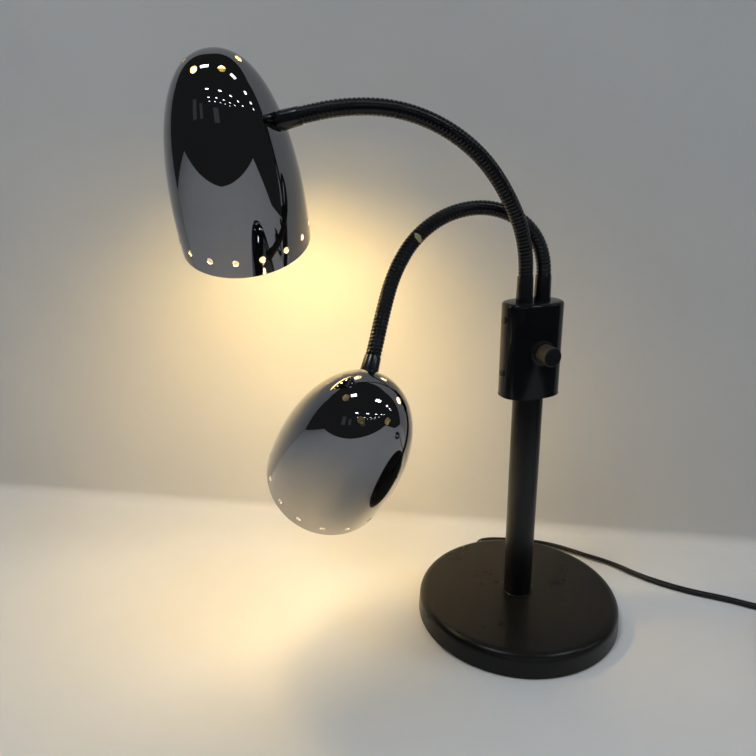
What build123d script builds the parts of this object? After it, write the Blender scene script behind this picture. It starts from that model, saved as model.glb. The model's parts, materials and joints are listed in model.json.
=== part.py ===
from build123d import *
import os
from math import atan2, cos, degrees, hypot, radians, sin, tan

# A desk lamp with a weighted base, a short post, a switch housing and two gooseneck arms,
# each with a bullet-shaped shade. Millimetres, +Z up, origin at the centre of the underside.

# ------------------------------------------------------------------ dimensions
# Base
BASE_RADIUS = 90.0
BASE_SHOULDER_RADIUS = 88.7
BASE_HEIGHT = 21.3
BASE_EDGE_FILLET = 8.0
BASE_WALL = 1.2
BASE_RIM_Z = 0.8
PAD_RADIUS = 84.0
PAD_THICKNESS = 2.0
WEIGHT_RADIUS = 86.0
WEIGHT_TOP_Z = 13.0
BOSS_RADIUS = 26.0
NUT_POCKET_RADIUS = 15.0
NUT_POCKET_TOP_Z = 17.5
CHANNEL_WIDTH = 10.0
CHANNEL_TOP_Z = 10.2

# Post and the hollow threaded rod that clamps the stand together
POST_RADIUS = 12.45
POST_WALL = 1.2
COLLAR_RADIUS = 13.5
COLLAR_THICKNESS = 1.2
ROD_RADIUS = 5.0
ROD_BORE_RADIUS = 3.6
ROD_BOTTOM_Z = 11.7
ROD_TOP_Z = 223.0
ROD_HOLE_RADIUS = 5.1
ROD_NUT_WIDTH = 17.0
ROD_NUT_THICKNESS = 4.0
WASHER_RADIUS = 12.0
WASHER_THICKNESS = 1.5
BUSH_HEIGHT = 8.0

# Switch housing: an oval box turned to face the user
HOUSING_YAW = 33.5
HOUSING_HALF_LENGTH = 25.4
HOUSING_HALF_WIDTH = 17.0
HOUSING_OVAL_POWER = 2.5
HOUSING_BOTTOM_Z = 212.5
HOUSING_TOP_Z = 290.0
HOUSING_WALL = 1.5
HOUSING_TOP_WALL = 2.0
HOUSING_EDGE_FILLET = 2.5
FLOOR_LIP = 0.2
FLOOR_LIP_THICKNESS = 1.0
FLOOR_PLUG_THICKNESS = 2.5
BRACKET_THICKNESS = 1.5
BRACKET_HALF_WIDTH = 6.0
BRACKET_STRAP_X = -22.3
BRACKET_TOP_REACH = 17.0
BRACKET_FOOT_REACH = 9.0
SCREW_HEIGHTS = (232.5, 276.0)
SCREW_HEAD_RADIUS = 2.7
SCREW_HEAD_HEIGHT = 1.6
SCREW_SHANK_RADIUS = 1.5
SCREW_LENGTH = 8.0

# Rotary switch
SWITCH_Z = 251.0
SWITCH_SIZE = (24.0, 20.0, 11.0)
SWITCH_FACE = 13.6
BUSHING_RADIUS = 4.9
BUSHING_FRONT = 19.5
RING_RADIUS = 10.2
RING_FRONT = 19.0
SHAFT_RADIUS = 3.0
SHAFT_BACK = 14.0
SHAFT_FRONT = 28.0
KNOB_RADIUS = 7.9
KNOB_BACK = 19.8
KNOB_FRONT = 31.8
RUNNING_GAP = 0.05

# Arms: each flexible conduit is a row of short tubes that meet in ball joints
ARM_OFFSET = 8.25
FERRULE_LENGTH = 20.0
FERRULE_WIDE_RADIUS = 6.75
FERRULE_NARROW_RADIUS = 6.2
STUD_RADIUS = 4.75
STUD_LENGTH = 10.0
STUD_NUT_WIDTH = 13.0
STUD_NUT_THICKNESS = 4.0
WIRE_BORE_RADIUS = 2.6
ARM_RADIUS = 5.85
ARM_LENGTH = 240.0
ARM_LINKS = 7
BALL_RADIUS = 5.8
CUP_RADIUS = 6.1
CUP_TRIM = 2.6
SPIGOT_RADIUS = 5.0
ROOT_SPIGOT = 8.0
TIP_SPIGOT = 5.0

# How each arm stands: its heading about +Z, then the bend and the sway of each of its pieces
# in degrees, the roll of the shade about the arm's end, and the turn of the vent holes
ARMS = {
    "high": {
        "offset": -ARM_OFFSET,
        "heading": 198.9,
        "bends": (10.5, 18, 9.5, 15.5, 15.5, 18, 14, 5),
        "sways": (11, 6.5, -1, -2, -1.5, -1.5, -7.5, -8),
        "roll": 167.1,
        "crown_turn": -10.0,
        "rim_turn": -8.7,
    },
    "low": {
        "offset": ARM_OFFSET,
        "heading": 200.0,
        "bends": (15, 42, 36, 28.5, 23.5, 13.5, 2.5, -2.5),
        "sways": (-5, -6, 1, 7.5, 9.5, 6.5, 3, 0.5),
        "roll": 98.2,
        "crown_turn": -44.6,
        "rim_turn": -3.0,
    },
}

# Heads: depths are measured along the shade's axis from its closed end
NECK_LENGTH = 15.0
HEAD_FERRULE_LENGTH = 14.0
HEAD_FERRULE_RADIUS = 6.9
SHADE_RADIUS = 50.5
SHADE_LENGTH = 142.2
SHADE_WALL = 0.8
SHADE_POWER = 2.30
SHADE_ROOT = 2.35
MOUNT_DEPTH = 44.6
MOUNT_RADIUS = 40.0
MOUNT_LEAN = 16.3
VENT_RADIUS = 2.5
CROWN_VENTS = 6
CROWN_VENT_DEPTH = 5.5
RIM_VENTS = 16
RIM_VENT_DEPTH = 128.7
NIPPLE_RADIUS = 4.8
NIPPLE_START = 7.0
NIPPLE_END = 23.5
NIPPLE_NUT_WIDTH = 14.0
SOCKET_BRACKET_WIDTH = 12.0
SOCKET_BRACKET_THICKNESS = 1.6
SOCKET_FOOT_INSIDE = 2.8
SOCKET_RING_DEPTH = 30.0
SOCKET_RING_RADIUS = 21.0
SOCKET_RADIUS = 17.0
SOCKET_BORE_RADIUS = 14.0
SOCKET_BACK = 15.0
SOCKET_BORE_BACK = 37.0
SOCKET_FRONT = 63.0
BULB_RADIUS = 25.0
BULB_CENTRE = 101.0
BULB_NECK_RADIUS = 12.9
BULB_NECK_DEPTH = 63.5
BULB_SHOULDER_ANGLE = -50.0
BULB_WALL = 0.8

# Mains cord: where it leaves the base, its route over the table and its stored coil
CORD_RADIUS = 2.7
EXIT_AZIMUTH = 114.0
EXIT_Z = 5.2
RELIEF_INNER = 74.0
RELIEF_BODY_START = 84.6
RELIEF_INNER_FLANGE = (86.4, 88.2)
RELIEF_OUTER_FLANGE = (89.9, 91.4)
RELIEF_OUTER = 98.8
RELIEF_SLEEVE_RADIUS = 3.2
RELIEF_NECK_RADIUS = 3.9
RELIEF_BODY_RADIUS = 4.2
RELIEF_FLANGE_RADIUS = 4.8
RELIEF_END_RADIUS = 3.4
LEAD_BEND_RADIUS = 6.0
LEAD_TOP_Z = 234.0
ARC_SHARE = 0.45
CORD_ROUTE = (
    (-40.2, 90.3, 5.2),
    (-43.8, 98.5, 5.2),
    (-42.4, 106.3, 4.5),
    (-36.9, 112.0, 3.7),
    (-17.0, 114.0, 2.9),
    (2.0, 116.2, 2.7),
    (21.0, 116.3, 2.7),
    (42.5, 111.2, 2.7),
    (66.0, 100.8, 2.7),
    (93.0, 91.2, 2.7),
    (116.0, 74.8, 2.7),
    (141.0, 63.6, 2.7),
    (166.0, 56.6, 2.7),
    (192.0, 52.6, 2.7),
    (217.0, 45.4, 2.7),
    (241.5, 40.6, 2.7),
    (263.7, 34.2, 2.7),
)
COIL_CENTRE = (253.2, -8.0)
COIL_RADIUS = 37.5
COIL_WIDTH = 15.8
COIL_HEIGHT = 15.2
COIL_CORNER = 3.5
PLUG_BACK = (287.7, 6.0, 22.2)
PLUG_NECK_LENGTH = 14.0
PLUG_NECK_RADII = (3.7, 5.8)
PLUG_SIZE = (24.0, 14.0, 30.0)
PLUG_EDGE = 2.5
BLADE_SIZE = (1.5, 6.35, 16.0)
BLADE_ROOT = 6.0
BLADE_SPACING = 12.7

UP = Vector(0, 0, 1)

os.makedirs("parts", exist_ok=True)


# ------------------------------------------------------------------ placing planes
def heading_vector(azimuth):
    """The level unit vector at an azimuth in degrees."""
    return Vector(cos(radians(azimuth)), sin(radians(azimuth)), 0)


# local X runs outward along the cord's exit, local Y is up
exit_side = Plane(
    origin=(0, 0, EXIT_Z),
    x_dir=heading_vector(EXIT_AZIMUTH),
    z_dir=heading_vector(EXIT_AZIMUTH).cross(UP),
)

# the housing's own directions: along its long axis, and out of its front
housing_long = heading_vector(HOUSING_YAW)
housing_front = heading_vector(HOUSING_YAW - 90)
housing_level = Plane(origin=(0, 0, 0), x_dir=housing_long, z_dir=UP)
switch_level = Plane(origin=(0, 0, SWITCH_Z), x_dir=housing_long, z_dir=housing_front)
screw_level = Plane(origin=(0, 0, 0), x_dir=housing_front, z_dir=housing_long * -1)


# ------------------------------------------------------------------ base
with BuildPart() as base_cover:
    with BuildSketch(Plane.XZ):
        with BuildLine():
            Polyline(
                (0, BASE_RIM_Z),
                (BASE_RADIUS, BASE_RIM_Z),
                (BASE_SHOULDER_RADIUS, BASE_HEIGHT),
                (0, BASE_HEIGHT),
                close=True,
            )
        make_face()
    revolve(axis=Axis.Z)
    fillet(base_cover.edges().group_by(Axis.Z)[-1], radius=BASE_EDGE_FILLET)
    underside = base_cover.faces().sort_by(Axis.Z)[0]
    offset(amount=-BASE_WALL, openings=underside)
    Cylinder(ROD_HOLE_RADIUS, 4 * BASE_HEIGHT, mode=Mode.SUBTRACT)
    # the notch in the rim where the cord comes out
    with BuildSketch(Plane(exit_side.origin, x_dir=UP, z_dir=exit_side.x_dir)):
        with Locations((-EXIT_Z, 0)):
            SlotCenterToCenter(2 * EXIT_Z, 2 * RELIEF_NECK_RADIUS)
    extrude(amount=BASE_RADIUS + 5, mode=Mode.SUBTRACT)
base_cover.part.label = "base_cover"
export_step(base_cover.part, "parts/base_cover.step")

with BuildPart() as base_weight:
    with BuildSketch(Plane.XY.offset(PAD_THICKNESS)):
        Circle(WEIGHT_RADIUS)
    extrude(amount=WEIGHT_TOP_Z - PAD_THICKNESS)
    with BuildSketch(Plane.XY.offset(WEIGHT_TOP_Z)):
        Circle(BOSS_RADIUS)
    extrude(amount=BASE_HEIGHT - BASE_WALL - WEIGHT_TOP_Z)
    with BuildSketch(Plane.XY.offset(PAD_THICKNESS)):
        Circle(NUT_POCKET_RADIUS)
    extrude(amount=NUT_POCKET_TOP_Z - PAD_THICKNESS, mode=Mode.SUBTRACT)
    with BuildSketch(Plane(origin=(0, 0, PAD_THICKNESS), x_dir=exit_side.x_dir, z_dir=UP)):
        with Locations((WEIGHT_RADIUS / 2 + 5, 0)):
            Rectangle(WEIGHT_RADIUS + 10, CHANNEL_WIDTH)
    extrude(amount=CHANNEL_TOP_Z - PAD_THICKNESS, mode=Mode.SUBTRACT)
    Cylinder(ROD_HOLE_RADIUS, 4 * BASE_HEIGHT, mode=Mode.SUBTRACT)
base_weight.part.label = "base_weight"
export_step(base_weight.part, "parts/base_weight.step")

with BuildPart() as base_pad:
    with BuildSketch():
        Circle(PAD_RADIUS)
    extrude(amount=PAD_THICKNESS)
base_pad.part.label = "base_pad"
export_step(base_pad.part, "parts/base_pad.step")

with BuildPart() as base_washer:
    with BuildSketch(Plane.XY.offset(NUT_POCKET_TOP_Z)):
        Circle(WASHER_RADIUS)
        Circle(ROD_HOLE_RADIUS, mode=Mode.SUBTRACT)
    extrude(amount=-WASHER_THICKNESS)
base_washer.part.label = "base_washer"
export_step(base_washer.part, "parts/base_washer.step")

with BuildPart() as base_nut:
    with BuildSketch(Plane.XY.offset(NUT_POCKET_TOP_Z - WASHER_THICKNESS)):
        RegularPolygon(ROD_NUT_WIDTH / 2, 6, major_radius=False)
        Circle(ROD_RADIUS, mode=Mode.SUBTRACT)
    extrude(amount=-ROD_NUT_THICKNESS)
base_nut.part.label = "base_nut"
export_step(base_nut.part, "parts/base_nut.step")


# ------------------------------------------------------------------ post
POST_BOTTOM_Z = BASE_HEIGHT + COLLAR_THICKNESS

with BuildPart() as post_collar:
    with BuildSketch(Plane.XY.offset(BASE_HEIGHT)):
        Circle(COLLAR_RADIUS)
        Circle(ROD_HOLE_RADIUS, mode=Mode.SUBTRACT)
    extrude(amount=COLLAR_THICKNESS)
post_collar.part.label = "post_collar"
export_step(post_collar.part, "parts/post_collar.step")

with BuildPart() as post_tube:
    with BuildSketch(Plane.XY.offset(POST_BOTTOM_Z)):
        Circle(POST_RADIUS)
        Circle(POST_RADIUS - POST_WALL, mode=Mode.SUBTRACT)
    extrude(amount=HOUSING_BOTTOM_Z - POST_BOTTOM_Z)
post_tube.part.label = "post_tube"
export_step(post_tube.part, "parts/post_tube.step")

with BuildPart() as post_bushes:
    for bush_z in (POST_BOTTOM_Z, HOUSING_BOTTOM_Z - BUSH_HEIGHT):
        with BuildSketch(Plane.XY.offset(bush_z)):
            Circle(POST_RADIUS - POST_WALL)
            Circle(ROD_HOLE_RADIUS, mode=Mode.SUBTRACT)
        extrude(amount=BUSH_HEIGHT)
post_bushes.part.label = "post_bushes"
export_step(post_bushes.part, "parts/post_bushes.step")

with BuildPart() as post_rod:
    with BuildSketch(Plane.XY.offset(ROD_BOTTOM_Z)):
        Circle(ROD_RADIUS)
        Circle(ROD_BORE_RADIUS, mode=Mode.SUBTRACT)
    extrude(amount=ROD_TOP_Z - ROD_BOTTOM_Z)
post_rod.part.label = "post_rod"
export_step(post_rod.part, "parts/post_rod.step")


# ------------------------------------------------------------------ switch housing
FLOOR_TOP_Z = HOUSING_BOTTOM_Z + FLOOR_LIP_THICKNESS + FLOOR_PLUG_THICKNESS
CEILING_Z = HOUSING_TOP_Z - HOUSING_TOP_WALL


def draw_oval(margin):
    """Draws the housing's oval in the open sketch, grown outward by margin."""
    half_length = HOUSING_HALF_LENGTH + margin
    half_width = HOUSING_HALF_WIDTH + margin
    points = []
    for step in range(32):
        angle = radians(360 * step / 32)
        across = abs(cos(angle)) ** (2 / HOUSING_OVAL_POWER)
        along = abs(sin(angle)) ** (2 / HOUSING_OVAL_POWER)
        x_side = 1 if cos(angle) >= 0 else -1
        y_side = 1 if sin(angle) >= 0 else -1
        points.append((x_side * half_length * across, y_side * half_width * along))
    with BuildLine() as oval:
        Spline(*points, periodic=True)
    make_face(oval.edges())


with BuildPart() as housing_shell:
    with BuildSketch(housing_level.offset(HOUSING_BOTTOM_Z + FLOOR_LIP_THICKNESS)):
        draw_oval(0)
    extrude(amount=HOUSING_TOP_Z - HOUSING_BOTTOM_Z - FLOOR_LIP_THICKNESS)
    fillet(housing_shell.edges().group_by(Axis.Z)[-1], radius=HOUSING_EDGE_FILLET)
    with BuildSketch(housing_level.offset(HOUSING_BOTTOM_Z)):
        draw_oval(-HOUSING_WALL)
    extrude(amount=CEILING_Z - HOUSING_BOTTOM_Z, mode=Mode.SUBTRACT)
    with BuildSketch(housing_level.offset(CEILING_Z)):
        with Locations((-ARM_OFFSET, 0), (ARM_OFFSET, 0)):
            Circle(STUD_RADIUS)
    extrude(amount=HOUSING_TOP_WALL, mode=Mode.SUBTRACT)
    with BuildSketch(switch_level):
        Circle(BUSHING_RADIUS)
    extrude(amount=HOUSING_HALF_WIDTH + 5, mode=Mode.SUBTRACT)
    with BuildSketch(screw_level):
        with Locations([(0, z) for z in SCREW_HEIGHTS]):
            Circle(SCREW_SHANK_RADIUS)
    extrude(amount=HOUSING_HALF_LENGTH + 5, mode=Mode.SUBTRACT)
housing_shell.part.label = "housing_shell"
export_step(housing_shell.part, "parts/housing_shell.step")

with BuildPart() as housing_floor:
    with BuildSketch(housing_level.offset(HOUSING_BOTTOM_Z)):
        draw_oval(FLOOR_LIP)
    extrude(amount=FLOOR_LIP_THICKNESS)
    with BuildSketch(housing_level.offset(HOUSING_BOTTOM_Z + FLOOR_LIP_THICKNESS)):
        draw_oval(-HOUSING_WALL)
    extrude(amount=FLOOR_PLUG_THICKNESS)
    with BuildSketch(housing_level.offset(HOUSING_BOTTOM_Z)):
        Circle(ROD_HOLE_RADIUS)
    extrude(amount=FLOOR_TOP_Z - HOUSING_BOTTOM_Z, mode=Mode.SUBTRACT)
housing_floor.part.label = "housing_floor"
export_step(housing_floor.part, "parts/housing_floor.step")

with BuildPart() as housing_bracket:
    bracket_side = Plane(origin=(0, 0, 0), x_dir=housing_long, z_dir=housing_front)
    with BuildSketch(bracket_side):
        with BuildLine():
            Polyline(
                (BRACKET_FOOT_REACH, FLOOR_TOP_Z),
                (BRACKET_STRAP_X, FLOOR_TOP_Z),
                (BRACKET_STRAP_X, CEILING_Z),
                (BRACKET_TOP_REACH, CEILING_Z),
                (BRACKET_TOP_REACH, CEILING_Z - BRACKET_THICKNESS),
                (BRACKET_STRAP_X + BRACKET_THICKNESS, CEILING_Z - BRACKET_THICKNESS),
                (BRACKET_STRAP_X + BRACKET_THICKNESS, FLOOR_TOP_Z + BRACKET_THICKNESS),
                (BRACKET_FOOT_REACH, FLOOR_TOP_Z + BRACKET_THICKNESS),
                close=True,
            )
        make_face()
    extrude(amount=BRACKET_HALF_WIDTH, both=True)
    with BuildSketch(housing_level.offset(FLOOR_TOP_Z)):
        Circle(ROD_HOLE_RADIUS)
    extrude(amount=BRACKET_THICKNESS, mode=Mode.SUBTRACT)
    with BuildSketch(housing_level.offset(CEILING_Z)):
        with Locations((-ARM_OFFSET, 0), (ARM_OFFSET, 0)):
            Circle(STUD_RADIUS)
    extrude(amount=-BRACKET_THICKNESS, mode=Mode.SUBTRACT)
    with BuildSketch(screw_level):
        with Locations([(0, z) for z in SCREW_HEIGHTS]):
            Circle(SCREW_SHANK_RADIUS)
    extrude(amount=HOUSING_HALF_LENGTH, mode=Mode.SUBTRACT)
housing_bracket.part.label = "housing_bracket"
export_step(housing_bracket.part, "parts/housing_bracket.step")

with BuildPart() as housing_screws:
    with BuildSketch(screw_level.offset(HOUSING_HALF_LENGTH)):
        with Locations([(0, z) for z in SCREW_HEIGHTS]):
            Circle(SCREW_HEAD_RADIUS)
    extrude(amount=SCREW_HEAD_HEIGHT)
    screw_faces = housing_screws.faces().sort_by(Axis(screw_level.origin, screw_level.z_dir))[-2:]
    fillet(screw_faces.edges(), radius=0.7)
    with BuildSketch(screw_level.offset(HOUSING_HALF_LENGTH)):
        with Locations([(0, z) for z in SCREW_HEIGHTS]):
            Circle(SCREW_SHANK_RADIUS)
    extrude(amount=-SCREW_LENGTH)
housing_screws.part.label = "housing_screws"
export_step(housing_screws.part, "parts/housing_screws.step")

with BuildPart() as floor_nut:
    with BuildSketch(housing_level.offset(FLOOR_TOP_Z + BRACKET_THICKNESS)):
        RegularPolygon(ROD_NUT_WIDTH / 2, 6, major_radius=False)
        Circle(ROD_RADIUS, mode=Mode.SUBTRACT)
    extrude(amount=ROD_NUT_THICKNESS)
floor_nut.part.label = "floor_nut"
export_step(floor_nut.part, "parts/floor_nut.step")


# ------------------------------------------------------------------ rotary switch
with BuildPart() as switch_body:
    with BuildSketch(switch_level.offset(SWITCH_FACE)):
        Rectangle(SWITCH_SIZE[0], SWITCH_SIZE[1])
    extrude(amount=-SWITCH_SIZE[2])
    with BuildSketch(switch_level.offset(SWITCH_FACE)):
        Circle(BUSHING_RADIUS)
    extrude(amount=BUSHING_FRONT - SWITCH_FACE)
    with BuildSketch(switch_level.offset(SHAFT_BACK)):
        Circle(SHAFT_RADIUS + RUNNING_GAP)
    extrude(amount=BUSHING_FRONT - SHAFT_BACK, mode=Mode.SUBTRACT)
switch_body.part.label = "switch_body"
export_step(switch_body.part, "parts/switch_body.step")

with BuildPart() as switch_ring:
    with BuildSketch(switch_level.offset(SWITCH_FACE + 0.5)):
        Circle(RING_RADIUS)
        Circle(BUSHING_RADIUS, mode=Mode.SUBTRACT)
    extrude(amount=RING_FRONT - SWITCH_FACE - 0.5)
    ring_rim = switch_ring.edges().sort_by(Axis(switch_level.origin, switch_level.z_dir))[-1]
    fillet(ring_rim, radius=0.6)
    with BuildSketch(housing_level.offset(HOUSING_BOTTOM_Z)):
        draw_oval(0)
    extrude(amount=HOUSING_TOP_Z - HOUSING_BOTTOM_Z, mode=Mode.SUBTRACT)
switch_ring.part.label = "switch_ring"
export_step(switch_ring.part, "parts/switch_ring.step")

with BuildPart() as switch_shaft:
    with BuildSketch(switch_level.offset(SHAFT_BACK + RUNNING_GAP)):
        Circle(SHAFT_RADIUS)
    extrude(amount=SHAFT_FRONT - SHAFT_BACK - RUNNING_GAP)
switch_shaft.part.label = "switch_shaft"
export_step(switch_shaft.part, "parts/switch_shaft.step")

with BuildPart() as switch_knob:
    with BuildSketch(switch_level.offset(KNOB_BACK)):
        Circle(KNOB_RADIUS)
    extrude(amount=KNOB_FRONT - KNOB_BACK)
    knob_face = switch_knob.faces().sort_by(Axis(switch_level.origin, switch_level.z_dir))[-1]
    fillet(knob_face.edges(), radius=0.8)
    with BuildSketch(switch_level.offset(KNOB_BACK)):
        Circle(SHAFT_RADIUS)
    extrude(amount=SHAFT_FRONT - KNOB_BACK, mode=Mode.SUBTRACT)
switch_knob.part.label = "switch_knob"
export_step(switch_knob.part, "parts/switch_knob.step")


# ------------------------------------------------------------------ arms
with BuildPart(housing_level.offset(HOUSING_TOP_Z)) as arm_root_ferrules:
    with Locations((-ARM_OFFSET, 0), (ARM_OFFSET, 0)):
        Cone(
            FERRULE_WIDE_RADIUS,
            FERRULE_NARROW_RADIUS,
            FERRULE_LENGTH,
            align=(Align.CENTER, Align.CENTER, Align.MIN),
        )
        Cylinder(STUD_RADIUS, STUD_LENGTH, align=(Align.CENTER, Align.CENTER, Align.MAX))
        Cylinder(WIRE_BORE_RADIUS, 4 * FERRULE_LENGTH, mode=Mode.SUBTRACT)
    with BuildSketch(housing_level.offset(HOUSING_TOP_Z + FERRULE_LENGTH)):
        with Locations((-ARM_OFFSET, 0), (ARM_OFFSET, 0)):
            Circle(SPIGOT_RADIUS)
    extrude(amount=-ROOT_SPIGOT, mode=Mode.SUBTRACT)
arm_root_ferrules.part.label = "arm_root_ferrules"
export_step(arm_root_ferrules.part, "parts/arm_root_ferrules.step")

with BuildPart() as arm_root_nuts:
    with BuildSketch(housing_level.offset(CEILING_Z - BRACKET_THICKNESS)):
        with Locations((-ARM_OFFSET, 0), (ARM_OFFSET, 0)):
            RegularPolygon(STUD_NUT_WIDTH / 2, 6, major_radius=False)
            Circle(STUD_RADIUS, mode=Mode.SUBTRACT)
    extrude(amount=-STUD_NUT_THICKNESS)
arm_root_nuts.part.label = "arm_root_nuts"
export_step(arm_root_nuts.part, "parts/arm_root_nuts.step")


def swung(bend, sway):
    """The turn about the arm's own line that points local X to where the arm bends."""
    return Rot(0, 0, degrees(atan2(sway, bend)))


def arc_end(start, length, bend, sway):
    """The frame at the far end of an arc that leaves start along its Z."""
    turn = hypot(bend, sway)
    radius = length / radians(turn)
    reach = Pos(radius * (1 - cos(radians(turn))), 0, radius * sin(radians(turn)))
    swing = swung(bend, sway)
    return start * swing * reach * Rot(0, turn, 0) * swing.inverse()


def piece_lengths():
    """Half a link at each end of the arm, and whole links between."""
    link = ARM_LENGTH / ARM_LINKS
    return [link / 2] + [link] * (ARM_LINKS - 1) + [link / 2]


def arm_frames(arm):
    """The frames along an arm: its root, every joint, and its end."""
    root = housing_long * arm["offset"] + UP * (HOUSING_TOP_Z + FERRULE_LENGTH)
    frames = [Location(root) * Rot(0, 0, arm["heading"])]
    for length, bend, sway in zip(piece_lengths(), arm["bends"], arm["sways"]):
        frames.append(arc_end(frames[-1], length, bend, sway))
    return frames


def make_arm_piece(name, start, end, length, bend, sway, place):
    """One tube of an arm; place is root, link or tip, and says what its ends are."""
    turn = hypot(bend, sway)
    near = Plane(start * swung(bend, sway))
    hinge = Axis(near.from_local_coords((length / radians(turn), 0, 0)), near.y_dir)
    trimmed = 1 - CUP_TRIM / length
    with BuildPart() as piece:
        with BuildSketch(near):
            Circle(ARM_RADIUS)
        revolve(axis=hinge, revolution_arc=turn if place == "tip" else turn * trimmed)
        if place == "root":
            with BuildSketch(near):
                Circle(SPIGOT_RADIUS)
            extrude(amount=-ROOT_SPIGOT)
        else:
            with Locations(start):
                Sphere(BALL_RADIUS)
        if place == "tip":
            with BuildSketch(Plane(end)):
                Circle(SPIGOT_RADIUS)
            extrude(amount=TIP_SPIGOT)
        else:
            with Locations(end):
                Sphere(CUP_RADIUS, mode=Mode.SUBTRACT)
        # the bore for the wires
        with BuildSketch(near):
            Circle(WIRE_BORE_RADIUS)
        extrude(amount=-ROOT_SPIGOT - 1, mode=Mode.SUBTRACT)
        with BuildSketch(near):
            Circle(WIRE_BORE_RADIUS)
        revolve(axis=hinge, revolution_arc=turn, mode=Mode.SUBTRACT)
        with BuildSketch(Plane(end)):
            Circle(WIRE_BORE_RADIUS)
        extrude(amount=TIP_SPIGOT + 1, mode=Mode.SUBTRACT)
    piece.part.label = name
    export_step(piece.part, f"parts/{name}.step")


def make_arm(name, arm):
    """All the tubes of one arm."""
    frames = arm_frames(arm)
    places = ["root"] + ["link"] * (ARM_LINKS - 1) + ["tip"]
    for index, place in enumerate(places):
        make_arm_piece(
            f"{name}_arm_link_{index}" if place == "link" else f"{name}_arm_{place}",
            frames[index],
            frames[index + 1],
            piece_lengths()[index],
            arm["bends"][index],
            arm["sways"][index],
            place,
        )


# ------------------------------------------------------------------ heads
def neck_plane(arm):
    """The plane at the arm's end: local Z points at the shade, local X to its crown."""
    return Plane(arm_frames(arm)[-1] * Rot(0, 0, arm["roll"]))


def shade_plane(neck):
    """The plane at the shade's closed end: local Z along its axis, local X to its mount."""
    lean_sin = sin(radians(MOUNT_LEAN))
    lean_cos = cos(radians(MOUNT_LEAN))
    to_crown = neck.x_dir * lean_cos - neck.z_dir * lean_sin
    to_mount = neck.x_dir * -lean_sin - neck.z_dir * lean_cos
    mount = neck.from_local_coords(Vector(0, 0, NECK_LENGTH))
    apex = mount - to_mount * MOUNT_RADIUS + to_crown * MOUNT_DEPTH
    return Plane(origin=apex, x_dir=to_mount, z_dir=to_crown * -1)


def half_section(shade):
    """The plane through the shade's axis: local X is the radius, local Y the depth."""
    return Plane(origin=shade.origin, x_dir=shade.x_dir, z_dir=shade.y_dir * -1)


def shade_radius(depth):
    """The shade's outer radius at a depth below its crown."""
    left = 1 - depth / SHADE_LENGTH
    return SHADE_RADIUS * (1 - left**SHADE_POWER) ** (1 / SHADE_ROOT)


def shade_lean(depth):
    """How far the shade's outward normal leans towards the crown, in degrees."""
    step = 0.01
    rise = shade_radius(depth) - shade_radius(depth - step)
    return degrees(atan2(rise, step))


def draw_shade(inset):
    """Draws the shade's solid half section in the open sketch, inset from its surface."""
    points = [(0, inset)]
    for index in range(1, 15):
        depth = SHADE_LENGTH * (index / 14) ** 2
        lean = radians(shade_lean(depth))
        points.append((shade_radius(depth) - inset * cos(lean), depth + inset * sin(lean)))
    with BuildLine() as outline:
        Spline(*points, tangents=((1, 0), (0, 1)))
        Polyline(points[-1], (0, points[-1][1]), points[0])
    make_face(outline.edges())


def shade_solid(shade, inset):
    """The shade's shape as a full solid, for cutting what fits against it."""
    with BuildPart(mode=Mode.PRIVATE) as solid:
        with BuildSketch(half_section(shade)):
            draw_shade(inset)
        revolve(axis=Axis(shade.origin, shade.z_dir))
    return solid.part


def vent_locations(depth, count, turn):
    """Where the round vent holes of one ring pierce the shade, in its own plane."""
    pierce = Pos(shade_radius(depth), 0, depth) * Rot(0, 90 + shade_lean(depth), 0)
    return [Rot(0, 0, turn + 360 * index / count) * pierce for index in range(count)]


def make_shade(name, arm, neck, shade):
    """The spun metal shade with its mount hole and both rings of vents."""
    with BuildPart(shade) as body:
        with BuildSketch(half_section(shade)):
            draw_shade(0)
        revolve(axis=Axis(shade.origin, shade.z_dir))
        with BuildSketch(half_section(shade)):
            draw_shade(SHADE_WALL)
        revolve(axis=Axis(shade.origin, shade.z_dir), mode=Mode.SUBTRACT)
        with Locations(*vent_locations(CROWN_VENT_DEPTH, CROWN_VENTS, arm["crown_turn"])):
            Cylinder(VENT_RADIUS, 6, mode=Mode.SUBTRACT)
        with Locations(*vent_locations(RIM_VENT_DEPTH, RIM_VENTS, arm["rim_turn"])):
            Cylinder(VENT_RADIUS, 6, mode=Mode.SUBTRACT)
        with BuildSketch(neck):
            Circle(NIPPLE_RADIUS)
        extrude(amount=NIPPLE_END, mode=Mode.SUBTRACT)
    body.part.label = f"{name}_shade"
    export_step(body.part, f"parts/{name}_shade.step")


def make_head_ferrule(name, neck, shade):
    """The ferrule between the arm and the shade, shaped to the shade at its wide end."""
    neck_side = Plane(origin=neck.origin, x_dir=neck.x_dir, z_dir=neck.y_dir * -1)
    with BuildPart() as ferrule:
        with BuildSketch(neck_side):
            with BuildLine():
                Polyline(
                    (WIRE_BORE_RADIUS, TIP_SPIGOT),
                    (SPIGOT_RADIUS, TIP_SPIGOT),
                    (SPIGOT_RADIUS, 0),
                    (FERRULE_NARROW_RADIUS, 0),
                    (HEAD_FERRULE_RADIUS, HEAD_FERRULE_LENGTH),
                    (FERRULE_NARROW_RADIUS, HEAD_FERRULE_LENGTH),
                    (FERRULE_NARROW_RADIUS, NECK_LENGTH + 2),
                    (NIPPLE_RADIUS, NECK_LENGTH + 2),
                    (NIPPLE_RADIUS, NIPPLE_START),
                    (WIRE_BORE_RADIUS, NIPPLE_START),
                    close=True,
                )
            make_face()
        revolve(axis=Axis(neck.origin, neck.z_dir))
        add(shade_solid(shade, 0), mode=Mode.SUBTRACT)
    ferrule.part.label = f"{name}_head_ferrule"
    export_step(ferrule.part, f"parts/{name}_head_ferrule.step")


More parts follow.
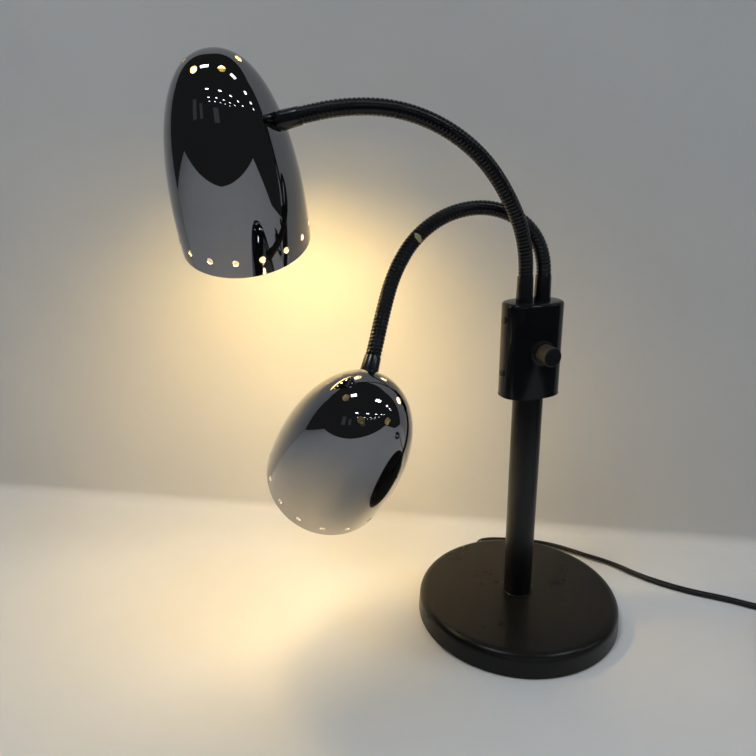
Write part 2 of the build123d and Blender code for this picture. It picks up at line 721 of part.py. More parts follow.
def make_nipple(name, neck):
    """The hollow threaded nipple through the shade's wall, and its nut inside."""
    with BuildPart() as nipple:
        with BuildSketch(neck.offset(NIPPLE_START)):
            Circle(NIPPLE_RADIUS)
            Circle(WIRE_BORE_RADIUS, mode=Mode.SUBTRACT)
        extrude(amount=NIPPLE_END - NIPPLE_START)
    nipple.part.label = f"{name}_nipple"
    export_step(nipple.part, f"parts/{name}_nipple.step")

    with BuildPart() as nut:
        with BuildSketch(neck.offset(NECK_LENGTH + SOCKET_FOOT_INSIDE)):
            RegularPolygon(NIPPLE_NUT_WIDTH / 2, 6, major_radius=False)
            Circle(NIPPLE_RADIUS, mode=Mode.SUBTRACT)
        extrude(amount=STUD_NUT_THICKNESS)
    nut.part.label = f"{name}_nipple_nut"
    export_step(nut.part, f"parts/{name}_nipple_nut.step")


def make_socket_bracket(name, neck, shade):
    """The bent strap from the nipple to a ring around the lamp holder."""
    ring = shade.offset(SOCKET_RING_DEPTH)
    with BuildPart() as bracket:
        with BuildSketch(neck.offset(NECK_LENGTH)):
            with Locations((4, 0)):
                Rectangle(23, SOCKET_BRACKET_WIDTH)
        extrude(amount=SOCKET_FOOT_INSIDE)
        with BuildSketch(ring):
            with Locations((27, 0)):
                Rectangle(20, SOCKET_BRACKET_WIDTH)
            Circle(SOCKET_RING_RADIUS)
            Circle(SOCKET_RADIUS, mode=Mode.SUBTRACT)
        extrude(amount=SOCKET_BRACKET_THICKNESS)
        add(shade_solid(shade, SHADE_WALL), mode=Mode.INTERSECT)
        with BuildSketch(neck.offset(NECK_LENGTH)):
            Circle(NIPPLE_RADIUS)
        extrude(amount=SOCKET_FOOT_INSIDE, mode=Mode.SUBTRACT)
    bracket.part.label = f"{name}_socket_bracket"
    export_step(bracket.part, f"parts/{name}_socket_bracket.step")


def make_socket(name, shade):
    """The lamp holder: a shoulder rests on the bracket's ring."""
    with BuildPart() as socket:
        with BuildSketch(half_section(shade)):
            with BuildLine():
                Polyline(
                    (0, SOCKET_BACK),
                    (SOCKET_RADIUS - 5, SOCKET_BACK),
                    (SOCKET_RADIUS, SOCKET_BACK + 5),
                    (SOCKET_RADIUS, SOCKET_RING_DEPTH - 2),
                    (SOCKET_RADIUS + 2, SOCKET_RING_DEPTH - 2),
                    (SOCKET_RADIUS + 2, SOCKET_RING_DEPTH),
                    (SOCKET_RADIUS, SOCKET_RING_DEPTH),
                    (SOCKET_RADIUS, SOCKET_FRONT),
                    (SOCKET_BORE_RADIUS, SOCKET_FRONT),
                    (SOCKET_BORE_RADIUS, SOCKET_BORE_BACK),
                    (0, SOCKET_BORE_BACK),
                    close=True,
                )
            make_face()
        revolve(axis=Axis(shade.origin, shade.z_dir))
    socket.part.label = f"{name}_socket"
    export_step(socket.part, f"parts/{name}_socket.step")


def draw_bulb(inset):
    """Draws the bulb's solid half section in the open sketch, inset from its surface."""
    radius = BULB_RADIUS - inset
    neck_radius = BULB_NECK_RADIUS - inset
    shoulder = radians(BULB_SHOULDER_ANGLE)
    joins = (radius * cos(shoulder), BULB_CENTRE + radius * sin(shoulder))
    with BuildLine() as outline:
        Line((0, BULB_NECK_DEPTH), (neck_radius, BULB_NECK_DEPTH))
        Line((neck_radius, BULB_NECK_DEPTH), (neck_radius, BULB_NECK_DEPTH + 2))
        Spline(
            (neck_radius, BULB_NECK_DEPTH + 2),
            joins,
            tangents=((0, 1), (-sin(shoulder), cos(shoulder))),
        )
        ThreePointArc(joins, (radius, BULB_CENTRE), (0, BULB_CENTRE + radius))
        Line((0, BULB_CENTRE + radius), (0, BULB_NECK_DEPTH))
    make_face(outline.edges())


def make_bulb(name, shade):
    """The bulb: its screw cap in the lamp holder and its glass."""
    cap_radius = SOCKET_BORE_RADIUS - 0.7
    with BuildPart() as cap:
        with BuildSketch(half_section(shade)):
            with BuildLine():
                Polyline(
                    (0, SOCKET_BORE_BACK),
                    (4, SOCKET_BORE_BACK),
                    (5, SOCKET_BORE_BACK + 2),
                    (cap_radius, SOCKET_BORE_BACK + 4),
                    (cap_radius, BULB_NECK_DEPTH),
                    (0, BULB_NECK_DEPTH),
                    close=True,
                )
            make_face()
        revolve(axis=Axis(shade.origin, shade.z_dir))
    cap.part.label = f"{name}_bulb_cap"
    export_step(cap.part, f"parts/{name}_bulb_cap.step")

    with BuildPart() as glass:
        with BuildSketch(half_section(shade)):
            draw_bulb(0)
        revolve(axis=Axis(shade.origin, shade.z_dir))
        with BuildSketch(half_section(shade)):
            draw_bulb(BULB_WALL)
        revolve(axis=Axis(shade.origin, shade.z_dir), mode=Mode.SUBTRACT)
    glass.part.label = f"{name}_bulb_glass"
    export_step(glass.part, f"parts/{name}_bulb_glass.step")


for arm_name, arm_shape in ARMS.items():
    make_arm(arm_name, arm_shape)
    arm_neck = neck_plane(arm_shape)
    arm_shade = shade_plane(arm_neck)
    make_shade(arm_name, arm_shape, arm_neck, arm_shade)
    make_head_ferrule(arm_name, arm_neck, arm_shade)
    make_nipple(arm_name, arm_neck)
    make_socket_bracket(arm_name, arm_neck, arm_shade)
    make_socket(arm_name, arm_shade)
    make_bulb(arm_name, arm_shade)


# ------------------------------------------------------------------ mains cord
with BuildPart() as cord_relief:
    with BuildSketch(exit_side):
        with BuildLine():
            Polyline(
                (RELIEF_INNER, CORD_RADIUS),
                (RELIEF_INNER, RELIEF_SLEEVE_RADIUS),
                (RELIEF_BODY_START, RELIEF_SLEEVE_RADIUS),
                (RELIEF_BODY_START, RELIEF_BODY_RADIUS),
                (RELIEF_INNER_FLANGE[0], RELIEF_BODY_RADIUS),
                (RELIEF_INNER_FLANGE[0], RELIEF_FLANGE_RADIUS),
                (RELIEF_INNER_FLANGE[1], RELIEF_FLANGE_RADIUS),
                (RELIEF_INNER_FLANGE[1], RELIEF_NECK_RADIUS),
                (RELIEF_OUTER_FLANGE[0], RELIEF_NECK_RADIUS),
                (RELIEF_OUTER_FLANGE[0], RELIEF_FLANGE_RADIUS),
                (RELIEF_OUTER_FLANGE[1], RELIEF_FLANGE_RADIUS),
                (RELIEF_OUTER_FLANGE[1], RELIEF_BODY_RADIUS),
                (RELIEF_OUTER, RELIEF_END_RADIUS),
                (RELIEF_OUTER, CORD_RADIUS),
                close=True,
            )
        make_face()
    revolve(axis=Axis(exit_side.origin, exit_side.x_dir))
cord_relief.part.label = "cord_relief"
export_step(cord_relief.part, "parts/cord_relief.step")

with BuildPart() as inner_lead:
    with BuildLine(exit_side) as lead_route:
        FilletPolyline(
            (RELIEF_OUTER, 0),
            (0, 0),
            (0, LEAD_TOP_Z - EXIT_Z),
            radius=LEAD_BEND_RADIUS,
        )
    with BuildSketch(Plane(origin=lead_route.line @ 0, z_dir=lead_route.line % 0)):
        Circle(CORD_RADIUS)
    sweep(path=lead_route.line)
inner_lead.part.label = "inner_lead"
export_step(inner_lead.part, "parts/inner_lead.step")


def corner_radii(points):
    """For each corner of a route, the largest arc that its two runs leave room for."""
    corners = [Vector(*point) for point in points]
    radii = []
    for before, here, after in zip(corners, corners[1:], corners[2:]):
        arriving = here - before
        leaving = after - here
        half_turn = radians(arriving.get_angle(leaving)) / 2
        shorter = min(arriving.length, leaving.length)
        radii.append(ARC_SHARE * shorter / tan(half_turn))
    return radii


route_radii = corner_radii(CORD_ROUTE)
print("cord corner radii, mm:", [round(radius, 1) for radius in route_radii])

with BuildPart() as cord_run:
    with BuildLine() as cord_path:
        FilletPolyline(*CORD_ROUTE, radius=route_radii)
    with BuildSketch(Plane(origin=cord_path.line @ 0, z_dir=cord_path.line % 0)):
        Circle(CORD_RADIUS)
    sweep(path=cord_path.line)
cord_run.part.label = "cord_run"
export_step(cord_run.part, "parts/cord_run.step")
print("cord run, mm:", round(sum(edge.length for edge in cord_path.edges()), 1))

with BuildPart() as cord_coil:
    with BuildSketch(Plane(origin=(*COIL_CENTRE, 0), x_dir=(1, 0, 0), z_dir=(0, -1, 0))):
        with Locations((COIL_RADIUS, COIL_HEIGHT / 2)):
            RectangleRounded(COIL_WIDTH, COIL_HEIGHT, COIL_CORNER)
    revolve(axis=Axis((*COIL_CENTRE, 0), (0, 0, 1)))
cord_coil.part.label = "cord_coil"
export_step(cord_coil.part, "parts/cord_coil.step")

# the plug lies on the coil: local Z points along its blades, local Y is up
plug_level = Plane(origin=PLUG_BACK, x_dir=(1, 0, 0), z_dir=(0, -1, 0))

with BuildPart() as plug_body:
    with BuildSketch(plug_level.offset(PLUG_NECK_LENGTH)):
        RectangleRounded(PLUG_SIZE[0], PLUG_SIZE[1], PLUG_EDGE)
    extrude(amount=PLUG_SIZE[2])
    with BuildSketch(plug_level):
        Circle(PLUG_NECK_RADII[0])
    with BuildSketch(plug_level.offset(PLUG_NECK_LENGTH)):
        Circle(PLUG_NECK_RADII[1])
    loft()
    with BuildSketch(plug_level.offset(PLUG_NECK_LENGTH + PLUG_SIZE[2])):
        with Locations((-BLADE_SPACING / 2, 0), (BLADE_SPACING / 2, 0)):
            Rectangle(BLADE_SIZE[0], BLADE_SIZE[1])
    extrude(amount=-BLADE_ROOT, mode=Mode.SUBTRACT)
plug_body.part.label = "plug_body"
export_step(plug_body.part, "parts/plug_body.step")

with BuildPart() as plug_blades:
    with BuildSketch(plug_level.offset(PLUG_NECK_LENGTH + PLUG_SIZE[2] - BLADE_ROOT)):
        with Locations((-BLADE_SPACING / 2, 0), (BLADE_SPACING / 2, 0)):
            Rectangle(BLADE_SIZE[0], BLADE_SIZE[1])
    extrude(amount=BLADE_ROOT + BLADE_SIZE[2])
plug_blades.part.label = "plug_blades"
export_step(plug_blades.part, "parts/plug_blades.step")
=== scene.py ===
"""A two-arm gooseneck desk lamp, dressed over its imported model. Metres, +Z up."""

import json
import logging
import math
from collections.abc import Iterator, Sequence
from contextlib import contextmanager
from dataclasses import dataclass, field
from enum import Enum

import bpy
from mathutils import Matrix, Vector

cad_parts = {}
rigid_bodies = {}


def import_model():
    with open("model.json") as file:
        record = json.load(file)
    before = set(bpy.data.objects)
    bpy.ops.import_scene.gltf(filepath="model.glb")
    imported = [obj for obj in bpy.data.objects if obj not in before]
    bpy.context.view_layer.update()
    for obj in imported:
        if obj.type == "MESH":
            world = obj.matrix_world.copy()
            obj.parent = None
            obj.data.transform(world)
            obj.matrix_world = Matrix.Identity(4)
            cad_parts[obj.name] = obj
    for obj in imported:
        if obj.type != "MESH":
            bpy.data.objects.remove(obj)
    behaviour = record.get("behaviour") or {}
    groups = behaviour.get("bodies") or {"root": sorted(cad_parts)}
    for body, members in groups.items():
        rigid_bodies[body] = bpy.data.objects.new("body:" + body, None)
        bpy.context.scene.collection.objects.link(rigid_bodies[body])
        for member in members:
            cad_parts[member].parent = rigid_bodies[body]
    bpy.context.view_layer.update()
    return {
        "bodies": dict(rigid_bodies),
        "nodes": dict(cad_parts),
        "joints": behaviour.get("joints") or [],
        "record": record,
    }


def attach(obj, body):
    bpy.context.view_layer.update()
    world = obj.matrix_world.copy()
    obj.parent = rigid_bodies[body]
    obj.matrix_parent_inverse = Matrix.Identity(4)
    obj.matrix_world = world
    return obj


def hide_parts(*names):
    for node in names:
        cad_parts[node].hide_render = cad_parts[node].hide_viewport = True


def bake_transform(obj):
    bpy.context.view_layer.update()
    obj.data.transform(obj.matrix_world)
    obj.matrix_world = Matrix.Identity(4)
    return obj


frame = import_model()
log = logging.getLogger("desk_lamp")

MM = 0.001
Row = tuple[float, ...]
Triple = tuple[float, float, float]
Profile = Sequence[Row]
Value = float | bpy.types.NodeSocket


# ---------------- tools of the bench
def deselect() -> None:
    """Leaves nothing selected."""
    for thing in bpy.context.selected_objects:
        thing.select_set(False)


def pick(piece: bpy.types.Object) -> None:
    """Makes one piece the only selected one, and the active one.

    Args:
        piece: The piece to work on.
    """
    deselect()
    piece.select_set(True)
    bpy.context.view_layer.objects.active = piece


@contextmanager
def editing(piece: bpy.types.Object) -> Iterator[None]:
    """Opens a piece in edit mode with all of it selected, and closes it again.

    Args:
        piece: The piece to edit.
    """
    pick(piece)
    bpy.ops.object.mode_set(mode="EDIT")
    bpy.ops.mesh.select_all(action="SELECT")
    yield
    bpy.ops.object.mode_set(mode="OBJECT")


def settle(piece: bpy.types.Object, place: Matrix | None = None) -> bpy.types.Object:
    """Moves a piece to its place and writes the place into its mesh.

    Args:
        piece: The piece, modelled at its object's own place.
        place: A further placing, from the frame it was modelled in.

    Returns:
        The piece, with its object at the origin.
    """
    if place is not None:
        piece.matrix_world = place @ piece.matrix_world
    pick(piece)
    bpy.ops.object.transform_apply(location=True, rotation=True, scale=True)
    return piece


def apply(piece: bpy.types.Object, kind: str, **settings: object) -> None:
    """Adds a modifier, sets it and applies it.

    Args:
        piece: The piece to change.
        kind: The modifier's type.
        **settings: The modifier's own settings.
    """
    pick(piece)
    bpy.ops.object.modifier_add(type=kind)
    modifier = piece.modifiers[-1]
    for name, value in settings.items():
        setattr(modifier, name, value)
    bpy.ops.object.modifier_apply(modifier=modifier.name)


def cut(piece: bpy.types.Object, *cutters: bpy.types.Object) -> None:
    """Takes the shapes of some cutters out of a piece, and throws the cutters away.

    Args:
        piece: The piece to cut.
        *cutters: Closed meshes, each cut on its own.
    """
    for cutter in cutters:
        apply(piece, "BOOLEAN", object=cutter, operation="DIFFERENCE", solver="EXACT")
        bpy.data.objects.remove(cutter)


def join(parts: Sequence[bpy.types.Object], name: str) -> bpy.types.Object:
    """Joins several meshes into one piece.

    Args:
        parts: The meshes.
        name: The joined piece's name.

    Returns:
        The joined piece.
    """
    pick(parts[0])
    for part in parts[1:]:
        part.select_set(True)
    if len(parts) > 1:
        bpy.ops.object.join()
    parts[0].name = name
    return parts[0]


def chain(name: str, points: Sequence[Vector]) -> bpy.types.Object:
    """Draws a row of edges by extruding one vertex from point to point.

    Args:
        name: The name of the new mesh.
        points: The points, in metres.

    Returns:
        The mesh of edges.
    """
    deselect()
    bpy.ops.mesh.primitive_plane_add(size=MM, location=points[0])
    piece = bpy.context.object
    piece.name = name
    with editing(piece):
        bpy.ops.mesh.merge(type="CENTER")
        for before, here in zip(points, points[1:]):
            bpy.ops.mesh.extrude_region_move(TRANSFORM_OT_translate={"value": here - before})
    return settle(piece)


def rounded(corners: Profile, steps: int = 4) -> Profile:
    """Rounds the corners of a half section.

    Args:
        corners: Each as (radius, height) in millimetres, with its fillet where it has one.
        steps: How many edges each fillet has.

    Returns:
        The rounded half section, as (radius, height).
    """
    made = []
    for index, (across, height, *fillet) in enumerate(corners):
        here = Vector((across, height))
        if not fillet:
            made.append((here.x, here.y))
            continue
        back = (Vector(corners[index - 1][:2]) - here).normalized()
        on = (Vector(corners[index + 1][:2]) - here).normalized()
        half = back.angle(on) / 2
        centre = here + (back + on).normalized() * fillet[0] / math.sin(half)
        first = here + back * fillet[0] / math.tan(half) - centre
        last = here + on * fillet[0] / math.tan(half) - centre
        for step in range(steps + 1):
            along = first.slerp(last, step / steps) * fillet[0]
            made.append((centre.x + along.x, centre.y + along.y))
    return made


def turned(name: str, profile: Profile, flats: int = 72) -> bpy.types.Object:
    """Turns a half section about Z, as on a lathe.

    Args:
        name: The piece's name.
        profile: Its half section as (radius, height) in millimetres.
        flats: How many flats the turning has.

    Returns:
        The turned piece, about the world's Z axis.
    """
    piece = chain(name, [Vector((radius * MM, 0, height * MM)) for radius, height in profile])
    with editing(piece):
        bpy.ops.mesh.spin(steps=flats, angle=math.tau, center=(0, 0, 0), axis=(0, 0, 1))
        bpy.ops.mesh.select_all(action="SELECT")
        bpy.ops.mesh.remove_doubles(threshold=0.002 * MM)
        bpy.ops.mesh.normals_make_consistent(inside=False)
    return piece


def block(size: Sequence[float], middle: Sequence[float], turn: float = 0.0) -> bpy.types.Object:
    """Adds a box.

    Args:
        size: Its three sides in millimetres.
        middle: Its middle in millimetres.
        turn: Its turn about Z in radians.

    Returns:
        The box.
    """
    deselect()
    bpy.ops.mesh.primitive_cube_add(size=MM, location=Vector(middle) * MM, rotation=(0, 0, turn))
    piece = bpy.context.object
    piece.scale = size
    return settle(piece)


def rod(
    radius: float, depth: float, middle: Sequence[float] = (0, 0, 0), turn: Triple = (0, 0, 0),
    flats: int = 32,
) -> bpy.types.Object:
    """Adds a cylinder, along Z if it isn't turned.

    Args:
        radius: Its radius in millimetres.
        depth: Its length in millimetres.
        middle: Its middle in millimetres.
        turn: Its rotation in radians.
        flats: How many flats it has.

    Returns:
        The cylinder.
    """
    deselect()
    bpy.ops.mesh.primitive_cylinder_add(
        vertices=flats, radius=radius * MM, depth=depth * MM,
        location=Vector(middle) * MM, rotation=turn,
    )
    return settle(bpy.context.object)


def ease(piece: bpy.types.Object, width: float, segments: int, degrees: float = 50) -> None:
    """Bevels a piece by a width in millimetres, where it turns by more than some degrees."""
    apply(
        piece, "BEVEL", width=width * MM, segments=segments, limit_method="ANGLE",
        angle_limit=math.radians(degrees),
    )


def placed(name: str, data: bpy.types.ID) -> bpy.types.Object:
    """Puts a new object into the scene.

    Args:
        name: Its name.
        data: Its mesh, curve, lamp or camera.

    Returns:
        The object.
    """
    made = bpy.data.objects.new(name, data)
    bpy.context.collection.objects.link(made)
    return made


def smooth(piece: bpy.types.Object, degrees: float) -> None:
    """Shades a piece smooth, apart from edges that turn by more than some degrees."""
    pick(piece)
    bpy.ops.object.shade_smooth_by_angle(angle=math.radians(degrees))


def paint(piece: bpy.types.Object, *materials: bpy.types.Material) -> None:
    """Gives a piece its materials.

    Args:
        piece: The piece.
        *materials: Its materials, in the order of its slots.
    """
    piece.data.materials.clear()
    for material in materials:
        piece.data.materials.append(material)


def show(
    piece: bpy.types.Object,
    finishes: "Sequence[Finish]",
    slot: str,
    body: str | None,
    *nodes: str,
    sharp: float | None = 32,
) -> None:
    """Shades and paints a finished piece, ties it to the model and reports it.

    Args:
        piece: The piece.
        finishes: Its finishes, in the order of its material slots.
        slot: The record's material slot for the piece; not used.
        body: The body it rides on, or None to tie it to none.
        *nodes: The model's nodes that it stands for.
        sharp: Edges that turn by more degrees stay sharp; None leaves the shading as it is.
    """
    if sharp is not None:
        smooth(piece, sharp)
    paint(piece, *(finish.material() for finish in finishes))
    if body is not None:
        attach(piece, body)
    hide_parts(*nodes)
    log.info("%s: %d faces", piece.name, len(piece.data.polygons))


# ---------------- finishes
class Graph:
    """Adds and joins the nodes of one shader tree."""

    def __init__(self, tree: bpy.types.NodeTree) -> None:
        """Keeps the tree to build in."""
        self.tree = tree

    def feed(self, node: bpy.types.Node, inputs: dict) -> None:
        """Sets the inputs of a node.

        Args:
            node: The node.
            inputs: Values or other nodes' outputs, by the input's name or number.
        """
        for key, value in inputs.items():
            if isinstance(value, bpy.types.NodeSocket):
                self.tree.links.new(value, node.inputs[key])
            else:
                node.inputs[key].default_value = value

    def add(self, kind: str, inputs: dict | None = None, **settings: object) -> bpy.types.Node:
        """Adds a node.

        Args:
            kind: The node's type, without its ShaderNode prefix.
            inputs: What its inputs are fed.
            **settings: The node's own settings.

        Returns:
            The new node.
        """
        node = self.tree.nodes.new("ShaderNode" + kind)
        for name, value in settings.items():
            setattr(node, name, value)
        self.feed(node, inputs or {})
        return node

    def math(self, operation: str, first: Value, second: Value) -> bpy.types.NodeSocket:
        """Works on two values, or on the outputs of other nodes."""
        return self.add("Math", {0: first, 1: second}, operation=operation).outputs[0]

    def vector(self, operation: str, inputs: dict) -> bpy.types.Node:
        """Works on vectors."""
        return self.add("VectorMath", inputs, operation=operation)

    def use(
        self, effect: "Effect", place: bpy.types.NodeSocket, size: float, amount: float = 1.0
    ) -> bpy.types.NodeSocket:
        """Places a shared effect, its marks sized in millimetres, and gives its mask."""
        inputs = {0: place, 1: size * MM, 2: amount}
        return self.add("Group", inputs, node_tree=effect.tree()).outputs[0]

    def sift(self, value: bpy.types.NodeSocket, low: float, high: float) -> bpy.types.NodeSocket:
        """Makes a mask of a value: 0 up to a low limit, 1 from a high one."""
        return self.add("MapRange", {0: value, 1: low, 2: high}).outputs[0]

    def spread(self, value: bpy.types.NodeSocket, low: float, high: float) -> bpy.types.NodeSocket:
        """Spreads a mask from 0 to 1 over a range of values."""
        return self.add("MapRange", {0: value, 3: low, 4: high}).outputs[0]

    def blend(
        self, mask: bpy.types.NodeSocket, under: Triple | bpy.types.NodeSocket, over: Triple
    ) -> bpy.types.NodeSocket:
        """Lays one colour over another where a mask says.

        Args:
            mask: 0 shows the colour under, 1 the colour over.
            under: The colour under, or another node's colour.
            over: The colour over.

        Returns:
            The mixed colour.
        """
        below = under if isinstance(under, bpy.types.NodeSocket) else (*under, 1)
        mixed = self.add("Mix", {0: mask, 6: below, 7: (*over, 1)}, data_type="RGBA")
        return mixed.outputs[2]


class Effect(Enum):
    """The surface effects that finishes share: name, detail, roughness and limits of the noise."""

    GRAIN = ("fine grain", 2.0, 0.5, 0.3, 0.7)
    PATCHES = ("soft patches", 5.0, 0.6, 0.35, 0.68)
    DUST = ("settled dust", 8.0, 0.7, 0.42, 0.75)

    def tree(self) -> bpy.types.NodeTree:
        """Gives the effect's node group, built the first time."""
        found = bpy.data.node_groups.get(self.value[0])
        return found if found else self._build()

    def _build(self) -> bpy.types.NodeTree:
        """Builds the group: Vector, Size in metres and Amount in, a mask out."""
        name, detail, roughness, low, high = self.value
        tree = bpy.data.node_groups.new(name, "ShaderNodeTree")
        for socket, way, kind in (
            ("Vector", "INPUT", "Vector"), ("Size", "INPUT", "Float"),
            ("Amount", "INPUT", "Float"), ("Mask", "OUTPUT", "Float"),
        ):
            tree.interface.new_socket(socket, in_out=way, socket_type=f"NodeSocket{kind}")
        graph = Graph(tree)
        place, size, amount = tree.nodes.new("NodeGroupInput").outputs[:3]
        noise = graph.add("TexNoise", {
            "Vector": place, "Scale": graph.math("DIVIDE", 1.0, size),
            "Detail": detail, "Roughness": roughness,
        })
        mask = graph.sift(noise.outputs[0], low, high)
        if self is Effect.DUST:
            normal = graph.add("NewGeometry").outputs["Normal"]
            up = graph.add("SeparateXYZ", {0: normal}).outputs[2]
            flat_enough = graph.sift(up, 0.2, 0.95)
            mask = graph.math("MULTIPLY", mask, flat_enough)
        graph.feed(tree.nodes.new("NodeGroupOutput"), {0: graph.math("MULTIPLY", mask, amount)})
        return tree


@dataclass(frozen=True)
class Finish:
    """A finish: colours from even to patchy, its gloss, its grain and what lies on it."""

    name: str
    color: Triple
    tint: Triple
    roughness: tuple[float, float]
    metallic: float = 0.0
    patch_mm: float = 30.0
    grain_mm: float = 0.6
    bump_mm: float = 0.02
    dust: float = 0.0
    dust_mm: float = 1.6
    dust_color: Triple = (0.32, 0.30, 0.27)
    specular: float = 0.5

    def material(self) -> bpy.types.Material:
        """Gives the finish's material, built the first time."""
        found = bpy.data.materials.get(self.name)
        if found:
            return found
        material = bpy.data.materials.new(self.name)
        material.use_nodes = True
        graph = Graph(material.node_tree)
        shader = material.node_tree.nodes["Principled BSDF"]
        self.dress(graph, shader, graph.add("TexCoord").outputs["Object"])
        return material

    def dress(self, graph: Graph, shader: bpy.types.Node, place: bpy.types.NodeSocket) -> None:
        """Sets the shader and joins the effects to it.

        Args:
            graph: The material's tree.
            shader: Its Principled BSDF.
            place: Object coordinates.
        """
        patches = graph.use(Effect.PATCHES, place, self.patch_mm)
        color = graph.blend(patches, self.color, self.tint)
        rough = graph.spread(patches, *self.roughness)
        if self.dust > 0:
            dust = graph.use(Effect.DUST, place, self.dust_mm, self.dust)
            color = graph.blend(dust, color, self.dust_color)
            rough = graph.math("MAXIMUM", rough, dust)
        graph.feed(shader, {
            "Base Color": color, "Roughness": rough,
            "Metallic": self.metallic, "Specular IOR Level": self.specular,
        })
        if self.bump_mm > 0:
            grain = graph.use(Effect.GRAIN, place, self.grain_mm)
            bump = graph.add("Bump", {"Height": grain, "Distance": self.bump_mm * MM})
            graph.feed(shader, {"Normal": bump.outputs[0]})


@dataclass(frozen=True)
class ChippedFinish(Finish):
    """A finish with one pale chip, longer than it is wide, its edge ragged."""

    spot: Triple = (0.0, 0.0, 0.0)
    narrow: Triple = (1.0, 0.0, 0.0)
    spot_mm: float = 4.5
    spot_color: Triple = (0.42, 0.42, 0.21)
    ragged_mm: float = 2.2
    ragged_scale: float = 420.0
    edge_mm: float = 0.4

    def dress(self, graph: Graph, shader: bpy.types.Node, place: bpy.types.NodeSocket) -> None:
        """Dresses the shader as usual, then lays the pale chip over its colour.

        Args:
            graph: The material's tree.
            shader: Its Principled BSDF.
            place: Object coordinates.
        """
        super().dress(graph, shader, place)
        noise = graph.add("TexNoise", {"Vector": place, "Scale": self.ragged_scale, "Detail": 3.0})
        away = graph.vector("SUBTRACT", {0: place, 1: self.spot}).outputs[0]
        aside = graph.vector("DOT_PRODUCT", {0: away, 1: self.narrow}).outputs["Value"]
        widened = graph.vector("SCALE", {0: self.narrow, "Scale": aside}).outputs[0]
        stretched = graph.vector("ADD", {0: away, 1: widened}).outputs[0]
        reach = graph.vector("LENGTH", {0: stretched}).outputs["Value"]
        jitter = graph.spread(noise.outputs[0], -self.ragged_mm * MM, self.ragged_mm * MM)
        edge = graph.math("ADD", reach, jitter)
        mask = graph.sift(edge, self.spot_mm * MM, (self.spot_mm - self.edge_mm) * MM)
        under = shader.inputs["Base Color"].links[0].from_socket
        graph.feed(shader, {"Base Color": graph.blend(mask, under, self.spot_color)})


@dataclass(frozen=True)
class LitGlass(Finish):
    """Frosted glass with the light on behind it."""

    glow: Triple = (1.0, 0.69, 0.245)
    strength: float = 100.0
    glow_patch_mm: float = 18.0
    glow_dip: float = 0.9

    def dress(self, graph: Graph, shader: bpy.types.Node, place: bpy.types.NodeSocket) -> None:
        """Dresses the frosted surface and gives it its glow, a little uneven.

        Args:
            graph: The material's tree.
            shader: Its Principled BSDF.
            place: Object coordinates.
        """
        super().dress(graph, shader, place)
        patches = graph.use(Effect.PATCHES, place, self.glow_patch_mm)
        dim = tuple(self.glow_dip * value for value in self.glow)
        glow = graph.blend(patches, self.glow, dim)
        graph.feed(shader, {"Emission Color": glow, "Emission Strength": self.strength})


BASE_PAINT = Finish(
    "base satin paint", (0.0045, 0.0042, 0.0036), (0.0062, 0.0057, 0.0048), (0.27, 0.33),
    grain_mm=0.45, bump_mm=0.008, dust=0.02, specular=0.26,
)
POST_PAINT = Finish(
    "post satin paint", (0.004, 0.004, 0.0045), (0.006, 0.0055, 0.0055), (0.28, 0.34),
    grain_mm=0.5, bump_mm=0.008, specular=0.35,
)
HOUSING_PAINT = Finish(
    "housing gloss paint", (0.0052, 0.0054, 0.0068), (0.0066, 0.0068, 0.0082), (0.12, 0.16),
    patch_mm=18, grain_mm=1.2, bump_mm=0.002, dust=0.01, specular=0.29,
)
RING_PAINT = Finish(
    "switch ring paint", (0.014, 0.014, 0.015), (0.020, 0.020, 0.020), (0.20, 0.26),
    patch_mm=6, bump_mm=0.003,
)
ARM_PAINT = Finish(
    "conduit gloss paint", (0.004, 0.004, 0.005), (0.006, 0.006, 0.007), (0.11, 0.15),
    patch_mm=9, bump_mm=0.003, specular=0.36,
)
CHIPPED_ARM_PAINT = ChippedFinish(
    "chipped conduit gloss paint", ARM_PAINT.color, ARM_PAINT.tint, ARM_PAINT.roughness,
    patch_mm=9, bump_mm=0.003, specular=0.36,
    spot=(-0.08674, -0.03321, 0.34185), narrow=(0.728, 0.368, 0.579),
)
FERRULE_PAINT = Finish(
    "ferrule gloss paint", (0.006, 0.006, 0.008), (0.008, 0.008, 0.010), (0.20, 0.26),
    patch_mm=8, bump_mm=0.003,
)
SHADE_CHROME = Finish(
    "smoky chrome", (0.272, 0.271, 0.284), (0.255, 0.254, 0.266), (0.012, 0.035),
    metallic=1.0, patch_mm=40, bump_mm=0.0,
)
SHADE_ENAMEL = Finish(
    "shade lining enamel", (0.87, 0.86, 0.82), (0.82, 0.80, 0.75), (0.35, 0.5),
    grain_mm=0.8, bump_mm=0.01,
)
LIT_GLASS = LitGlass(
    "lit frosted glass", (0.92, 0.88, 0.80), (0.88, 0.84, 0.76), (0.45, 0.55), bump_mm=0.0,
)
DIM_GLASS = LitGlass(
    "dimmer frosted glass", LIT_GLASS.color, LIT_GLASS.tint, LIT_GLASS.roughness, bump_mm=0.0,
    glow=(1.0, 0.78, 0.45), strength=15.0,
)
HOLDER_PLASTIC = Finish(
    "holder moulding", (0.022, 0.020, 0.018), (0.032, 0.028, 0.024), (0.38, 0.5), grain_mm=0.9,
)
KNOB_PLASTIC = Finish(
    "knob moulding", (0.030, 0.026, 0.022), (0.042, 0.037, 0.031), (0.42, 0.52),
    patch_mm=6, grain_mm=0.4, bump_mm=0.02, dust=0.05,
)
KNOB_FACE = Finish(
    "smooth knob face", (0.004, 0.004, 0.006), (0.006, 0.006, 0.008), (0.30, 0.38),
    patch_mm=6, bump_mm=0.004, specular=0.25,
)
